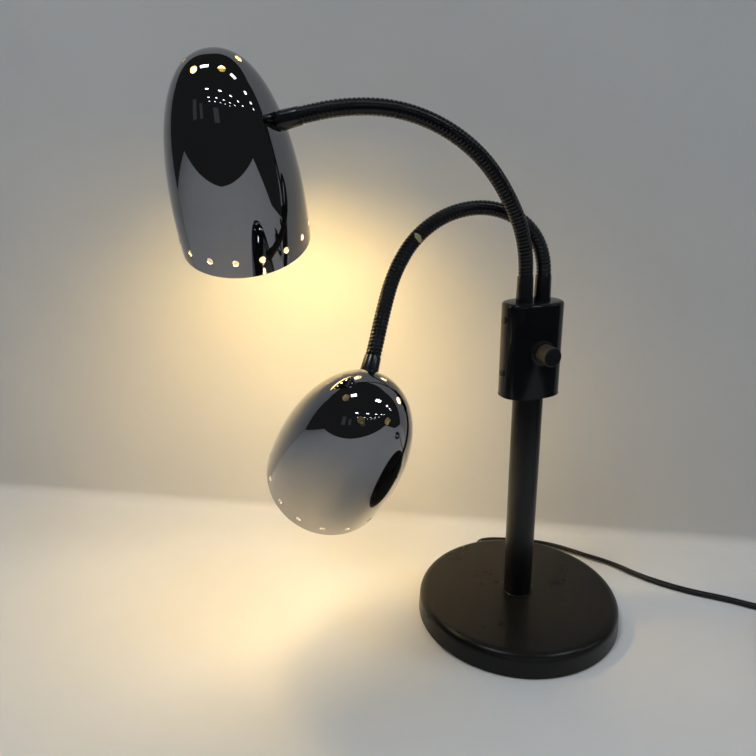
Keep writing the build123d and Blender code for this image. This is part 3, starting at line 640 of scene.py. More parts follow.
STEEL = Finish(
    "zinc steel", (0.55, 0.55, 0.55), (0.45, 0.45, 0.44), (0.28, 0.42), metallic=1.0, patch_mm=5,
)
SCREW_BLACK = Finish(
    "blackened screw", (0.03, 0.03, 0.03), (0.05, 0.045, 0.04), (0.3, 0.45),
    metallic=0.6, patch_mm=2,
)
IRON = Finish(
    "raw iron", (0.09, 0.085, 0.08), (0.14, 0.10, 0.075), (0.6, 0.8),
    metallic=0.7, patch_mm=20, grain_mm=1.4, bump_mm=0.15,
)
PAD = Finish(
    "non-slip pad", (0.030, 0.030, 0.032), (0.045, 0.044, 0.044), (0.8, 0.95),
    grain_mm=0.7, bump_mm=0.12,
)
NYLON = Finish("nylon", (0.72, 0.71, 0.67), (0.66, 0.64, 0.59), (0.4, 0.55), grain_mm=1.0)
CAP_METAL = Finish(
    "rolled cap metal", (0.74, 0.73, 0.70), (0.66, 0.64, 0.60), (0.22, 0.35),
    metallic=1.0, patch_mm=5,
)
VINYL = Finish(
    "black vinyl", (0.006, 0.006, 0.006), (0.009, 0.0085, 0.008), (0.30, 0.38),
    patch_mm=14, grain_mm=0.8, bump_mm=0.010, dust=0.03, specular=0.34,
)
BRASS = Finish(
    "plug brass", (0.72, 0.55, 0.26), (0.62, 0.46, 0.22), (0.22, 0.36), metallic=1.0, patch_mm=4,
)


# ---------------- the lamp's measures
@dataclass(frozen=True)
class ArmShape:
    """How one arm stands, piece by piece, and how its shade hangs. Millimetres, degrees."""

    side: str
    offset: float
    heading: float
    bends: tuple[float, ...]
    sways: tuple[float, ...]
    roll: float
    crown_turn: float
    rim_turn: float
    length: float = 240.0
    links: int = 7
    root_z: float = 310.0
    housing_yaw: float = 33.5
    neck_length: float = 15.0
    mount_depth: float = 44.6
    mount_radius: float = 40.0
    mount_lean: float = 16.3

    def piece_length(self, index: int) -> float:
        """The length of one piece: half a link at each end of the arm."""
        link = self.length / self.links
        return link / 2 if index in (0, self.links) else link

    def curve(self, index: int) -> tuple[float, float]:
        """The whole turn of one piece in radians, and its radius in metres."""
        turn = math.radians(math.hypot(self.bends[index], self.sways[index]))
        return turn, self.piece_length(index) * MM / turn

    def arc(self, index: int, share: float) -> Matrix:
        """The turn and reach of a share of one piece.

        Args:
            index: Which piece, from the root.
            share: How much of it, from 0 to 1.

        Returns:
            The frame there, seen from the piece's near end.
        """
        turn, radius = self.curve(index)
        turn *= share
        reach = Vector((radius * (1 - math.cos(turn)), 0, radius * math.sin(turn)))
        swing = Matrix.Rotation(math.atan2(self.sways[index], self.bends[index]), 4, "Z")
        bent = Matrix.Rotation(turn, 4, "Y")
        return swing @ Matrix.Translation(reach) @ bent @ swing.inverted()

    def frames(self) -> list[Matrix]:
        """The frames along the arm: its root, every joint, and its end."""
        yaw = math.radians(self.housing_yaw)
        root = Vector((math.cos(yaw) * self.offset, math.sin(yaw) * self.offset, self.root_z))
        heading = Matrix.Rotation(math.radians(self.heading), 4, "Z")
        frames = [Matrix.Translation(root * MM) @ heading]
        for index in range(len(self.bends)):
            frames.append(frames[-1] @ self.arc(index, 1.0))
        return frames

    def middle(self, index: int) -> Vector:
        """The point half way along one piece."""
        return (self.frames()[index] @ self.arc(index, 0.5)).translation

    def neck(self) -> Matrix:
        """The frame at the arm's end: local Z points at the shade, local X to its crown."""
        return self.frames()[-1] @ Matrix.Rotation(math.radians(self.roll), 4, "Z")

    def shade(self) -> Matrix:
        """The frame at the shade's closed end: local Z along its axis, X to its mount."""
        neck = self.neck()
        across, along = neck.col[0].xyz, neck.col[2].xyz
        lean = math.radians(self.mount_lean)
        to_crown = across * math.cos(lean) - along * math.sin(lean)
        to_mount = across * -math.sin(lean) - along * math.cos(lean)
        mount = neck @ Vector((0, 0, self.neck_length * MM))
        apex = mount - to_mount * self.mount_radius * MM + to_crown * self.mount_depth * MM
        down = -to_crown
        turn = Matrix((to_mount, down.cross(to_mount), down)).transposed()
        return Matrix.Translation(apex) @ turn.to_4x4()


ARMS = (
    ArmShape(
        side="high",
        offset=-8.25,
        heading=198.9,
        bends=(10.5, 18, 9.5, 15.5, 15.5, 18, 14, 5),
        sways=(11, 6.5, -1, -2, -1.5, -1.5, -7.5, -8),
        roll=167.1,
        crown_turn=-10.0,
        rim_turn=-8.7,
    ),
    ArmShape(
        side="low",
        offset=8.25,
        heading=200.0,
        bends=(15, 42, 36, 28.5, 23.5, 13.5, 2.5, -2.5),
        sways=(-5, -6, 1, 7.5, 9.5, 6.5, 3, 0.5),
        roll=98.2,
        crown_turn=-44.6,
        rim_turn=-3.0,
    ),
)


# ---------------- studio
@dataclass
class Studio:
    """The camera, the pale floor and backdrop, and the lamps around them."""

    eye: Triple = (0.0, -0.52799, 0.39174)
    forward: Triple = (-0.22491, 0.92547, -0.30484)
    up: Triple = (-0.05530, 0.30022, 0.95226)
    lens: float = 31.05
    cloth: Triple = (0.70, 0.69, 0.68)
    # the cloth's corners on the table; the two behind the lamp are the feet of its backdrop
    corners: tuple[Row, ...] = (
        (0.93, -0.51), (0.50, -0.06), (0.54, 0.178), (-1.80, 0.04), (-1.82, -0.95), (-0.20, -0.60),
    )
    backdrop: Triple = (0.0, 0.02, 1.0)
    fold_mm: float = 12.0
    wide: float = 14.0
    wide_z: float = -0.002
    room: Triple = (0.94, 0.97, 1.0)
    sky: float = 0.03
    beyond: Triple = (0.80, 0.79, 0.77)
    aim: Triple = (-0.05, 0.0, 0.25)
    # of the wide lamp and of the dim windows: x, y, z, longer and shorter side, watts
    soft: Row = (-0.15, 0.12, 1.9, 1.8, 1.0, 15.5)
    windows: tuple[Row, ...] = (
        (-2.6, -4.2, 0.75, 0.7, 1.3, 0.22),
        (-1.5, -4.6, 0.55, 0.5, 1.0, 0.12),
        (0.9, -4.4, 0.25, 0.8, 0.9, 0.20),
    )
    daylight: Triple = (0.85, 0.93, 1.0)
    # the ceiling's panels: the first one's place, the steps in x and y, and each one's measures
    first_panel: Triple = (-0.66, -0.83, 2.2)
    panels: tuple[int, int] = (4, 5)
    row_step: tuple[float, float] = (0.35, -3.4)
    column_step: tuple[float, float] = (2.2, 0.3)
    panel: Row = (0.56, 0.26, 8.5)
    panel_turn: float = 0.14
    panel_color: Triple = (0.88, 0.95, 1.0)

    def build(self) -> None:
        """Sets up the whole studio."""
        self.place_camera()
        self.lay_floor()
        self.hang_lamps()
        self.light_world()
        bpy.context.scene.view_settings.view_transform = "Standard"

    def place_camera(self) -> None:
        """Puts the camera where the lamp is looked at from."""
        forward = Vector(self.forward).normalized()
        right = forward.cross(Vector(self.up)).normalized()
        turn = Matrix((right, right.cross(forward), -forward)).transposed()
        lens = bpy.data.cameras.new("camera")
        lens.lens, lens.sensor_width = self.lens, 36.0
        lens.clip_start, lens.clip_end = 0.02, 50.0
        camera = placed("camera", lens)
        camera.matrix_world = Matrix.Translation(self.eye) @ turn.to_4x4()
        bpy.context.scene.camera = camera

    def cloth_material(self) -> bpy.types.Material:
        """A plain pale cloth that can't be seen from behind."""
        finish = Finish(
            "pale cloth", self.cloth, tuple(0.96 * value for value in self.cloth), (0.85, 0.95),
            patch_mm=180, grain_mm=1.2, bump_mm=0.05, specular=0.15,
        )
        material = finish.material()
        graph = Graph(material.node_tree)
        shader = material.node_tree.nodes["Principled BSDF"]
        clear = graph.add("BsdfTransparent")
        behind = graph.add("NewGeometry").outputs["Backfacing"]
        mixed = graph.add("MixShader", {0: behind, 1: shader.outputs[0], 2: clear.outputs[0]})
        graph.feed(material.node_tree.nodes["Material Output"], {0: mixed.outputs[0]})
        return material

    def lay_floor(self) -> None:
        """Lays the cloth, lifts its far edge into a backdrop, and lays a wider floor below."""
        cloth = chain("cloth", [Vector((x, y, 0)) for x, y in self.corners])
        with editing(cloth):
            bpy.ops.mesh.edge_face_add()
            bpy.ops.mesh.select_all(action="DESELECT")
            bpy.ops.object.mode_set(mode="OBJECT")
            for edge in cloth.data.edges:
                edge.select = all(cloth.data.vertices[end].co.y > 0 for end in edge.vertices)
            bpy.ops.object.mode_set(mode="EDIT")
            bpy.ops.mesh.extrude_region_move(TRANSFORM_OT_translate={"value": self.backdrop})
            bpy.ops.mesh.select_all(action="SELECT")
            bpy.ops.mesh.normals_make_consistent(inside=False)
        ease(cloth, self.fold_mm, 6, degrees=30)
        lowest = min(cloth.data.polygons, key=lambda face: face.center.z)
        if lowest.normal.z < 0:
            with editing(cloth):
                bpy.ops.mesh.flip_normals()
        smooth(cloth, 60)
        deselect()
        bpy.ops.mesh.primitive_plane_add(size=self.wide, location=(0, 0, self.wide_z))
        wide = settle(bpy.context.object)
        wide.name = "wide_floor"
        wide.visible_glossy = False
        material = self.cloth_material()
        for floor in (cloth, wide):
            paint(floor, material)

    def hang_lamps(self) -> None:
        """Hangs one wide soft lamp, and what glossy parts mirror: panels and dim windows."""
        self.area_lamp("soft", self.soft, self.daylight).visible_glossy = False
        x, y, z = self.first_panel
        rows, columns = self.panels
        for row in range(rows):
            for column in range(columns):
                place = (
                    x + self.column_step[0] * column + self.row_step[0] * row,
                    y + self.column_step[1] * column + self.row_step[1] * row,
                    z,
                )
                measures = (*place, *self.panel)
                panel = self.area_lamp(f"panel_{row}_{column}", measures, self.panel_color)
                panel.rotation_euler = (0, 0, self.panel_turn)
        for index, window in enumerate(self.windows):
            self.area_lamp(f"window_{index}", window, self.daylight)

    def area_lamp(self, name: str, measures: Row, color: Triple) -> bpy.types.Object:
        """Hangs one rectangular lamp that faces the desk lamp.

        Args:
            name: Its name.
            measures: Its place, its longer and its shorter side, and its power in watts.
            color: Its colour.

        Returns:
            The lamp's object.
        """
        *place, long, wide, power = measures
        light = bpy.data.lights.new(name, "AREA")
        light.shape = "RECTANGLE"
        light.size, light.size_y = long, wide
        light.energy, light.color = power, color
        lamp = placed(name, light)
        lamp.location = place
        aim = Vector(self.aim) - Vector(place)
        lamp.rotation_euler = aim.to_track_quat("-Z", "Y").to_euler()
        return lamp

    def light_world(self) -> None:
        """A dim room all round, and a pale background where the camera looks past it."""
        world = bpy.data.worlds.new("room")
        bpy.context.scene.world = world
        world.use_nodes = True
        graph = Graph(world.node_tree)
        room = world.node_tree.nodes["Background"]
        graph.feed(room, {0: (*self.room, 1), 1: self.sky})
        pale = graph.add("Background", {0: (*self.beyond, 1), 1: 1.0})
        camera_ray = graph.add("LightPath").outputs["Is Camera Ray"]
        mixed = graph.add("MixShader", {0: camera_ray, 1: room.outputs[0], 2: pale.outputs[0]})
        graph.feed(world.node_tree.nodes["World Output"], {0: mixed.outputs[0]})


# ---------------- stand
@dataclass
class Base:
    """The round base: its painted cover over the weight, and the cord's notch."""

    radius: float = 90.0
    shoulder: float = 88.7
    height: float = 21.3
    fillet: float = 8.0
    wall: float = 1.2
    rim_z: float = 0.8
    hole: float = 5.1
    notch: float = 3.9
    notch_z: float = 5.2
    notch_depth: float = 16.0
    notch_azimuth: float = 114.0

    def build(self) -> None:
        """Turns the cover, cuts its notch and paints it."""
        wall, top = self.wall, self.height
        cover = turned("base_cover_shell", rounded([
            (self.hole, top), (self.shoulder, top, self.fillet),
            (self.radius, self.rim_z, 0.5), (self.radius - wall, self.rim_z, 0.4),
            (self.shoulder - wall, top - wall, self.fillet - wall), (self.hole, top - wall),
            (self.hole, top),
        ], 10), 160)
        cut(cover, *self.notch_cutters())
        show(cover, [BASE_PAINT], "base_black", "stand", "base_cover", sharp=30)

    def notch_cutters(self) -> list[bpy.types.Object]:
        """The round hole for the relief's neck, open down to the rim."""
        azimuth = math.radians(self.notch_azimuth)
        out = Vector((math.cos(azimuth), math.sin(azimuth), 0)) * self.radius
        level = Vector((0, 0, self.notch_z))
        turn = (math.pi / 2, 0, azimuth + math.pi / 2)
        bore = rod(self.notch, self.notch_depth, out + level, turn, 40)
        size = (self.notch_depth, 2 * self.notch - 0.01, self.notch_z)
        return [bore, block(size, out + level / 2, azimuth)]


@dataclass
class Post:
    """The round post and the thin ring at its foot."""

    radius: float = 12.45
    wall: float = 1.2
    hole: float = 5.1
    collar: float = 13.5
    bottom: float = 21.3
    collar_height: float = 1.2
    top: float = 212.5

    def build(self) -> None:
        """Turns the tube and the ring."""
        foot, inner = self.bottom + self.collar_height, self.radius - self.wall
        tube = turned("post_sleeve", rounded([
            (inner, foot), (self.radius, foot, 0.25), (self.radius, self.top, 0.25),
            (inner, self.top), (inner, foot),
        ], 3))
        show(tube, [POST_PAINT], "post_black", "stand", "post_tube")
        ring = turned("post_foot_ring", rounded([
            (self.hole, self.bottom), (self.collar, self.bottom), (self.collar, foot, 0.6),
            (self.hole, foot), (self.hole, self.bottom),
        ], 5))
        show(ring, [HOUSING_PAINT], "post_black", "stand", "post_collar")


@dataclass
class Housing:
    """The oval switch housing: its shell, its two screws and its rotary knob."""

    half_length: float = 25.4
    half_width: float = 17.0
    sides: int = 112
    power: float = 2.5
    bottom: float = 213.5
    top: float = 290.0
    wall: float = 1.5
    fillet: float = 2.5
    yaw: float = 33.5
    screw_heights: tuple[float, float] = (232.5, 276.0)
    # the arms of the screws' cross: length, width and depth, and their turn
    screw_cross: Triple = (2.6, 0.55, 1.2)
    screw_turn: float = 0.35
    knob_z: float = 251.0
    knob_radius: float = 7.9
    knob_back: float = 19.8
    knob_front: float = 31.8

    def build(self) -> None:
        """Makes the shell, the screws and the knob."""
        self.make_shell()
        self.make_screws()
        self.make_knob()

    def outline(self) -> list[Vector]:
        """The housing's oval at its lower edge, in its own frame."""
        drawn = []
        for index in range(self.sides):
            angle = math.tau * index / self.sides
            across, along = math.cos(angle), math.sin(angle)
            x = math.copysign(abs(across) ** (2 / self.power), across) * self.half_length
            y = math.copysign(abs(along) ** (2 / self.power), along) * self.half_width
            drawn.append(Vector((x, y, self.bottom)) * MM)
        return drawn

    def place(self) -> Matrix:
        """The turn from the housing's own frame to the lamp's."""
        return Matrix.Rotation(math.radians(self.yaw), 4, "Z")

    def make_shell(self) -> None:
        """Draws the oval up into a shell, open below, with a soft top edge."""
        shell = chain("housing_cover", self.outline())
        with editing(shell):
            bpy.ops.mesh.edge_face_add()
            rise = (0, 0, (self.top - self.bottom) * MM)
            bpy.ops.mesh.extrude_region_move(TRANSFORM_OT_translate={"value": rise})
            bpy.ops.mesh.select_all(action="SELECT")
            bpy.ops.mesh.normals_make_consistent(inside=False)
            bpy.ops.mesh.select_all(action="DESELECT")
            bpy.ops.mesh.select_mode(type="FACE")
        for face in shell.data.polygons:
            face.select = face.normal.z < -0.9
        bpy.ops.object.mode_set(mode="EDIT")
        bpy.ops.mesh.delete(type="FACE")
        bpy.ops.mesh.select_mode(type="VERT")
        bpy.ops.object.mode_set(mode="OBJECT")
        ease(shell, self.fillet, 6, degrees=60)
        apply(shell, "SOLIDIFY", thickness=self.wall * MM, offset=-1, use_even_offset=True)
        settle(shell, self.place())
        show(shell, [HOUSING_PAINT], "housing_black", "stand", "housing_shell", sharp=35)

    def make_screws(self) -> None:
        """Turns two pan heads with a cross in each, on the narrow left side."""
        screws = []
        for height in self.screw_heights:
            head = turned("screw", rounded([
                (0, -8), (1.5, -8, 0.3), (1.5, 0), (2.7, 0, 0.15), (2.7, 1.6, 0.9), (0, 1.6),
            ]), 40)
            turns = (self.screw_turn, self.screw_turn + math.pi / 2)
            cut(head, *(block(self.screw_cross, (0, 0, 1.5), turn) for turn in turns))
            side = Matrix.Translation((-self.half_length * MM, 0, height * MM))
            settle(head, self.place() @ side @ Matrix.Rotation(-math.pi / 2, 4, "Y"))
            screws.append(head)
        pair = join(screws, "cover_screws")
        show(pair, [SCREW_BLACK], "fastener_steel", "stand", "housing_screws")

    def make_knob(self) -> None:
        """Turns the plain knob, with a smoother, darker face that is a shallow dish."""
        wide, tall = self.knob_radius, self.knob_front - self.knob_back
        knob = turned("dimmer_knob", rounded([
            (3.0, 0), (wide, 0, 0.4), (wide - 0.15, tall, 0.8), (wide - 1.4, tall, 0.3),
            (wide - 1.9, tall - 0.3, 0.8), (0, tall - 0.45),
        ]))
        back = Matrix.Translation((0, -self.knob_back * MM, self.knob_z * MM))
        place = self.place() @ back @ Matrix.Rotation(math.pi / 2, 4, "X")
        settle(knob, place)
        show(knob, [KNOB_PLASTIC, KNOB_FACE], "knob_plastic", "knob", "switch_knob")
        for face in knob.data.polygons:
            face.material_index = 1 if face.normal.dot(place.col[2].xyz) > 0.7 else 0


# ---------------- arms
@dataclass
class Arm:
    """One gooseneck arm: wound conduit in seven lengths, and the ferrule at its root."""

    shape: ArmShape
    pitch: float = 3.0
    crest: float = 5.85
    groove: float = 5.1
    lead_in: float = 8.0
    lead_out: float = 5.0
    spare: float = 1.5
    steps: int = 30
    stiff: float = 5.0

    def build(self) -> None:
        """Winds the conduit along the arm and turns its root ferrule."""
        path = self.path()
        turns = self.turns()
        for index, (first, last) in enumerate(zip(turns, turns[1:]), start=1):
            self.make_length(index, first, last, path)
        bpy.data.objects.remove(path)
        self.make_ferrule()

    def path(self) -> bpy.types.Object:
        """A Bezier line along the arm, one arc to each piece, with straight ends."""
        frames = self.shape.frames()
        curve = bpy.data.curves.new("arm_line", "CURVE")
        curve.dimensions = "3D"
        curve.resolution_u = 48
        curve.twist_mode = "MINIMUM"
        spline = curve.splines.new("BEZIER")
        spline.bezier_points.add(len(frames) + 1)
        aims = [frame.col[2].xyz for frame in frames]
        start = frames[0].translation - aims[0] * self.lead_in * MM
        end = frames[-1].translation + aims[-1] * self.lead_out * MM
        places = [start, *(frame.translation for frame in frames), end]
        aims = [aims[0], *aims, aims[-1]]
        curves = [self.shape.curve(index) for index in range(len(self.shape.bends))]
        arms = [4 / 3 * math.tan(turn / 4) * radius for turn, radius in curves]
        arms = [self.lead_in * MM / 3, *arms, self.lead_out * MM / 3]
        for index, (point, place, aim) in enumerate(zip(spline.bezier_points, places, aims)):
            point.handle_left_type = point.handle_right_type = "FREE"
            point.co = place
            point.handle_left = place - aim * arms[max(index - 1, 0)]
            point.handle_right = place + aim * arms[min(index, len(arms) - 1)]
        return placed("arm_line", curve)

    def turns(self) -> list[int]:
        """The turn of the winding at which each length starts, and the last one ends."""
        link = self.shape.length / self.shape.links
        seams = [self.lead_in + link * number for number in range(1, self.shape.links)]
        end = self.lead_in + self.shape.length + self.lead_out - self.spare
        return [0, *(round(seam / self.pitch) for seam in seams), int(end / self.pitch)]

    def make_length(self, index: int, first: int, last: int, path: bpy.types.Object) -> None:
        """Winds one length of conduit and bends it along the arm.

        Args:
            index: The joint that it crosses, from 1.
            first: The turn it starts at.
            last: The turn it ends at.
            path: The arm's line.
        """
        foot, flank = self.groove + 0.35, self.crest - 0.13
        ridge = (
            (self.groove, 0.0), (foot, 0.25), (flank, 0.7), (self.crest, 1.5),
            (flank, 2.3), (foot, 2.75), (self.groove, 3.0),
        )
        low = first * self.pitch
        points = [Vector((radius * MM, 0, (low + height) * MM)) for radius, height in ridge]
        length = chain(f"{self.shape.side}_conduit_{index}", points)
        apply(
            length, "SCREW", axis="Z", angle=math.tau, screw_offset=self.pitch * MM,
            iterations=last - first, steps=self.steps, render_steps=self.steps,
            use_normal_calculate=True,
        )
        with editing(length):
            bpy.ops.mesh.remove_doubles(threshold=0.01 * MM)
            bpy.ops.mesh.normals_make_consistent(inside=False)
        apply(length, "CURVE", object=path, deform_axis="POS_Z")
        pick(length)
        bpy.ops.object.shade_smooth()
        self.bind(length, index)

    def bind(self, length: bpy.types.Object, index: int) -> None:
        """Paints one length of conduit and hides the model's pieces that it stands for.

        Args:
            length: The length of conduit.
            index: The joint that it crosses, from 1.
        """
        side, frames = self.shape.side, self.shape.frames()
        near = frames[0].translation if index == 1 else self.shape.middle(index - 1)
        last = index == self.shape.links
        far = frames[-1].translation if last else self.shape.middle(index)
        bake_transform(length)
        nodes = [f"{side}_arm_root"] if index == 1 else []
        nodes.append(f"{side}_arm_tip" if last else f"{side}_arm_link_{index}")
        finish = CHIPPED_ARM_PAINT if side == "low" else ARM_PAINT
        show(length, [finish], "arm_black", None, *nodes, sharp=None)

    def make_ferrule(self) -> None:
        """Turns the tapered ferrule that holds the arm on the housing."""
        ferrule = turned(f"{self.shape.side}_root_ferrule", rounded([
            (2.6, -20), (6.75, -20, 0.25), (6.2, 0, 0.3), (5.4, 0, 0.2), (5.4, -6), (2.6, -6),
            (2.6, -20),
        ]), 56)
        settle(ferrule, self.shape.frames()[0])
        show(ferrule, [FERRULE_PAINT], "ferrule_black", "stand", "arm_root_ferrules")


# ---------------- heads
@dataclass
class Head:
    """One head: ferrule, mirror shade with its vents, lamp holder and lit bulb."""

    shape: ArmShape
    radius: float = 50.5
    length: float = 142.2
    wall: float = 0.8
    power: float = 2.30
    root: float = 2.35
    vent: float = 2.5
    vent_depth: float = 6.0
    crown: tuple[int, float] = (6, 5.5)
    rim: tuple[int, float] = (16, 128.7)
    rings: int = 64
    steps: int = 160
    # the bulb, below the crown: its globe, the globe's middle, its neck and its foot
    globe: float = 25.0
    globe_depth: float = 101.0
    neck: float = 12.9
    foot: float = 63.5

    def build(self) -> None:
        """Makes every piece of the head."""
        self.make_shade()
        self.make_ferrule()
        self.make_holder()
        self.make_bulb()

    @property
    def body(self) -> str:
        """The body that the head's pieces ride on."""
        return f"{self.shape.side}_head"

    def radius_at(self, depth: float) -> float:
        """The shade's outer radius at a depth below its crown."""
        left = 1 - min(max(depth / self.length, 0.0), 1.0)
        return self.radius * (1 - left**self.power) ** (1 / self.root)

    def lean_at(self, depth: float) -> float:
        """Measures how far the outward normal leans to the crown.

        Args:
            depth: The depth below the crown in millimetres.

        Returns:
            The lean in radians.
        """
        step = 0.01
        depth = max(depth, 2 * step)
        rise = self.radius_at(depth) - self.radius_at(depth - step)
        return math.atan2(rise, step)

    def half_section(self) -> Profile:
        """The shade's wall from its crown down to the rounded rim and back up inside."""
        half = self.wall / 2
        depths = [(self.length - half) * (n / self.rings) ** 2 for n in range(1, self.rings + 1)]
        outer = [(0.0, 0.0)] + [(self.radius_at(depth), depth) for depth in depths]
        radius, depth = outer[-1]
        angles = [math.pi * step / 6 for step in range(1, 6)]
        edge = [(radius - half + half * math.cos(a), depth + half * math.sin(a)) for a in angles]
        inner = []
        for radius, depth in reversed(outer[1:]):
            lean = self.lean_at(depth)
            inner.append(
                (radius - self.wall * math.cos(lean), depth + self.wall * math.sin(lean))
            )
        return outer + edge + inner + [(0.0, self.wall)]

    def vent_cutters(self) -> bpy.types.Object:
        """A short rod through the wall for every vent, and one for the mount, as one mesh."""
        places = [(self.shape.mount_depth, 0.0)]
        rows = ((self.crown, self.shape.crown_turn), (self.rim, self.shape.rim_turn))
        for (count, depth), turn in rows:
            places += [(depth, turn + 360 * n / count) for n in range(count)]
        rods = []
        for depth, turn in places:
            around = Matrix.Rotation(math.radians(turn), 4, "Z")
            out = Matrix.Translation((self.radius_at(depth) * MM, 0, depth * MM))
            tilt = Matrix.Rotation(math.pi / 2 + self.lean_at(depth), 4, "Y")
            rods.append(settle(rod(self.vent, self.vent_depth), around @ out @ tilt))
        return join(rods, "vent_rods")

    def make_shade(self) -> None:
        """Turns the shade, bores its vents and polishes it."""
        side = self.shape.side
        shade = turned(f"{side}_bullet_shade", self.half_section(), self.steps)
        cut(shade, self.vent_cutters())
        settle(shade, self.shape.shade())
        finishes = [SHADE_CHROME, SHADE_ENAMEL]
        show(shade, finishes, "shade_mirror", self.body, f"{side}_shade", sharp=None)
        self.polish(shade)

    def polish(self, shade: bpy.types.Object) -> None:
        """Gives both walls their true normals, so that no vent dents the reflections.

        Args:
            shade: The bored shade, in its place.
        """
        place = self.shape.shade()
        back, turn = place.inverted(), place.to_3x3()
        mesh = shade.data
        exact = []
        for vertex in mesh.vertices:
            local = back @ vertex.co
            flat = Vector((local.x, local.y, 0))
            lean = self.lean_at(local.z / MM)
            if flat.length > 0.05 * MM:
                flat.normalize()
            else:
                flat, lean = Vector((0, 0, 0)), math.pi / 2
            exact.append(turn @ (flat * math.cos(lean) - Vector((0, 0, math.sin(lean)))))
        normals = [face.normal for face in mesh.polygons for _ in face.vertices]
        for face in mesh.polygons:
            inward = True
            for loop, corner in zip(face.loop_indices, face.vertices):
                along = exact[corner].dot(face.normal)
                if abs(along) > 0.9:
                    normals[loop] = exact[corner] if along > 0 else -exact[corner]
                inward = inward and along < -0.9
            face.material_index = 1 if inward else 0
            face.use_smooth = True
        mesh.normals_split_custom_set(normals)

    def make_ferrule(self) -> None:
        """Turns the ferrule and the small ring between the arm and the shade."""
        side = self.shape.side
        ferrule = turned(f"{side}_tip_ferrule", rounded([
            (2.6, 5), (5.4, 5), (5.4, 0, 0.15), (6.2, 0, 0.15), (6.9, 14, 0.5), (6.2, 14),
            (6.2, 15.6), (2.6, 15.6), (2.6, 5),
        ]), 56)
        settle(ferrule, self.shape.neck())
        show(ferrule, [FERRULE_PAINT], "ferrule_black", self.body, f"{side}_head_ferrule")

    def make_holder(self) -> None:
        """Turns the lamp holder, with grip rings on its skirt."""
        side = self.shape.side
        section = [
            (0, 15), (12, 15, 1.5), (17, 20, 1.5), (17, 28), (19, 28, 0.5), (19, 30, 0.5),
            (17, 30),
        ]
        for depth in (34, 39, 44, 49, 54):
            section += [(17, depth, 0.2), (16.5, depth + 0.4)]
            section += [(16.5, depth + 2), (17, depth + 2.4, 0.2)]
        section += [(17, 63, 0.8), (14, 63, 0.8), (14, 37), (0, 37)]
        holder = settle(turned(f"{side}_lamp_holder", rounded(section)), self.shape.shade())
        show(holder, [HOLDER_PLASTIC], "socket_plastic", self.body, f"{side}_socket")

    def make_bulb(self) -> None:
        """Turns the frosted globe of the bulb, with a neck that flows into it."""
        side, globe, middle = self.shape.side, self.globe, self.globe_depth
        start = math.radians(-50)
        low = Vector((self.neck, self.foot + 2))
        joins = Vector((globe * math.cos(start), middle + globe * math.sin(start)))
        pull = (joins - low).length / 3
        profile = [(0, self.foot), (self.neck, self.foot), (self.neck, self.foot + 2)]
        for step in range(1, 8):
            t = step / 8
            a = low + Vector((0, 1)) * pull
            b = joins - Vector((-math.sin(start), math.cos(start))) * pull
            profile.append(tuple(
                low * (1 - t) ** 3 + a * 3 * t * (1 - t) ** 2
                + b * 3 * t**2 * (1 - t) + joins * t**3
            ))
        for step in range(25):
            angle = start + (math.pi / 2 - start) * step / 24
            profile.append((max(globe * math.cos(angle), 0.0), middle + globe * math.sin(angle)))
        bulb = settle(turned(f"{side}_bulb_globe", profile), self.shape.shade())
        glass = LIT_GLASS if side == "high" else DIM_GLASS
        show(bulb, [glass], "bulb_glass", self.body, f"{side}_bulb_glass", sharp=50)


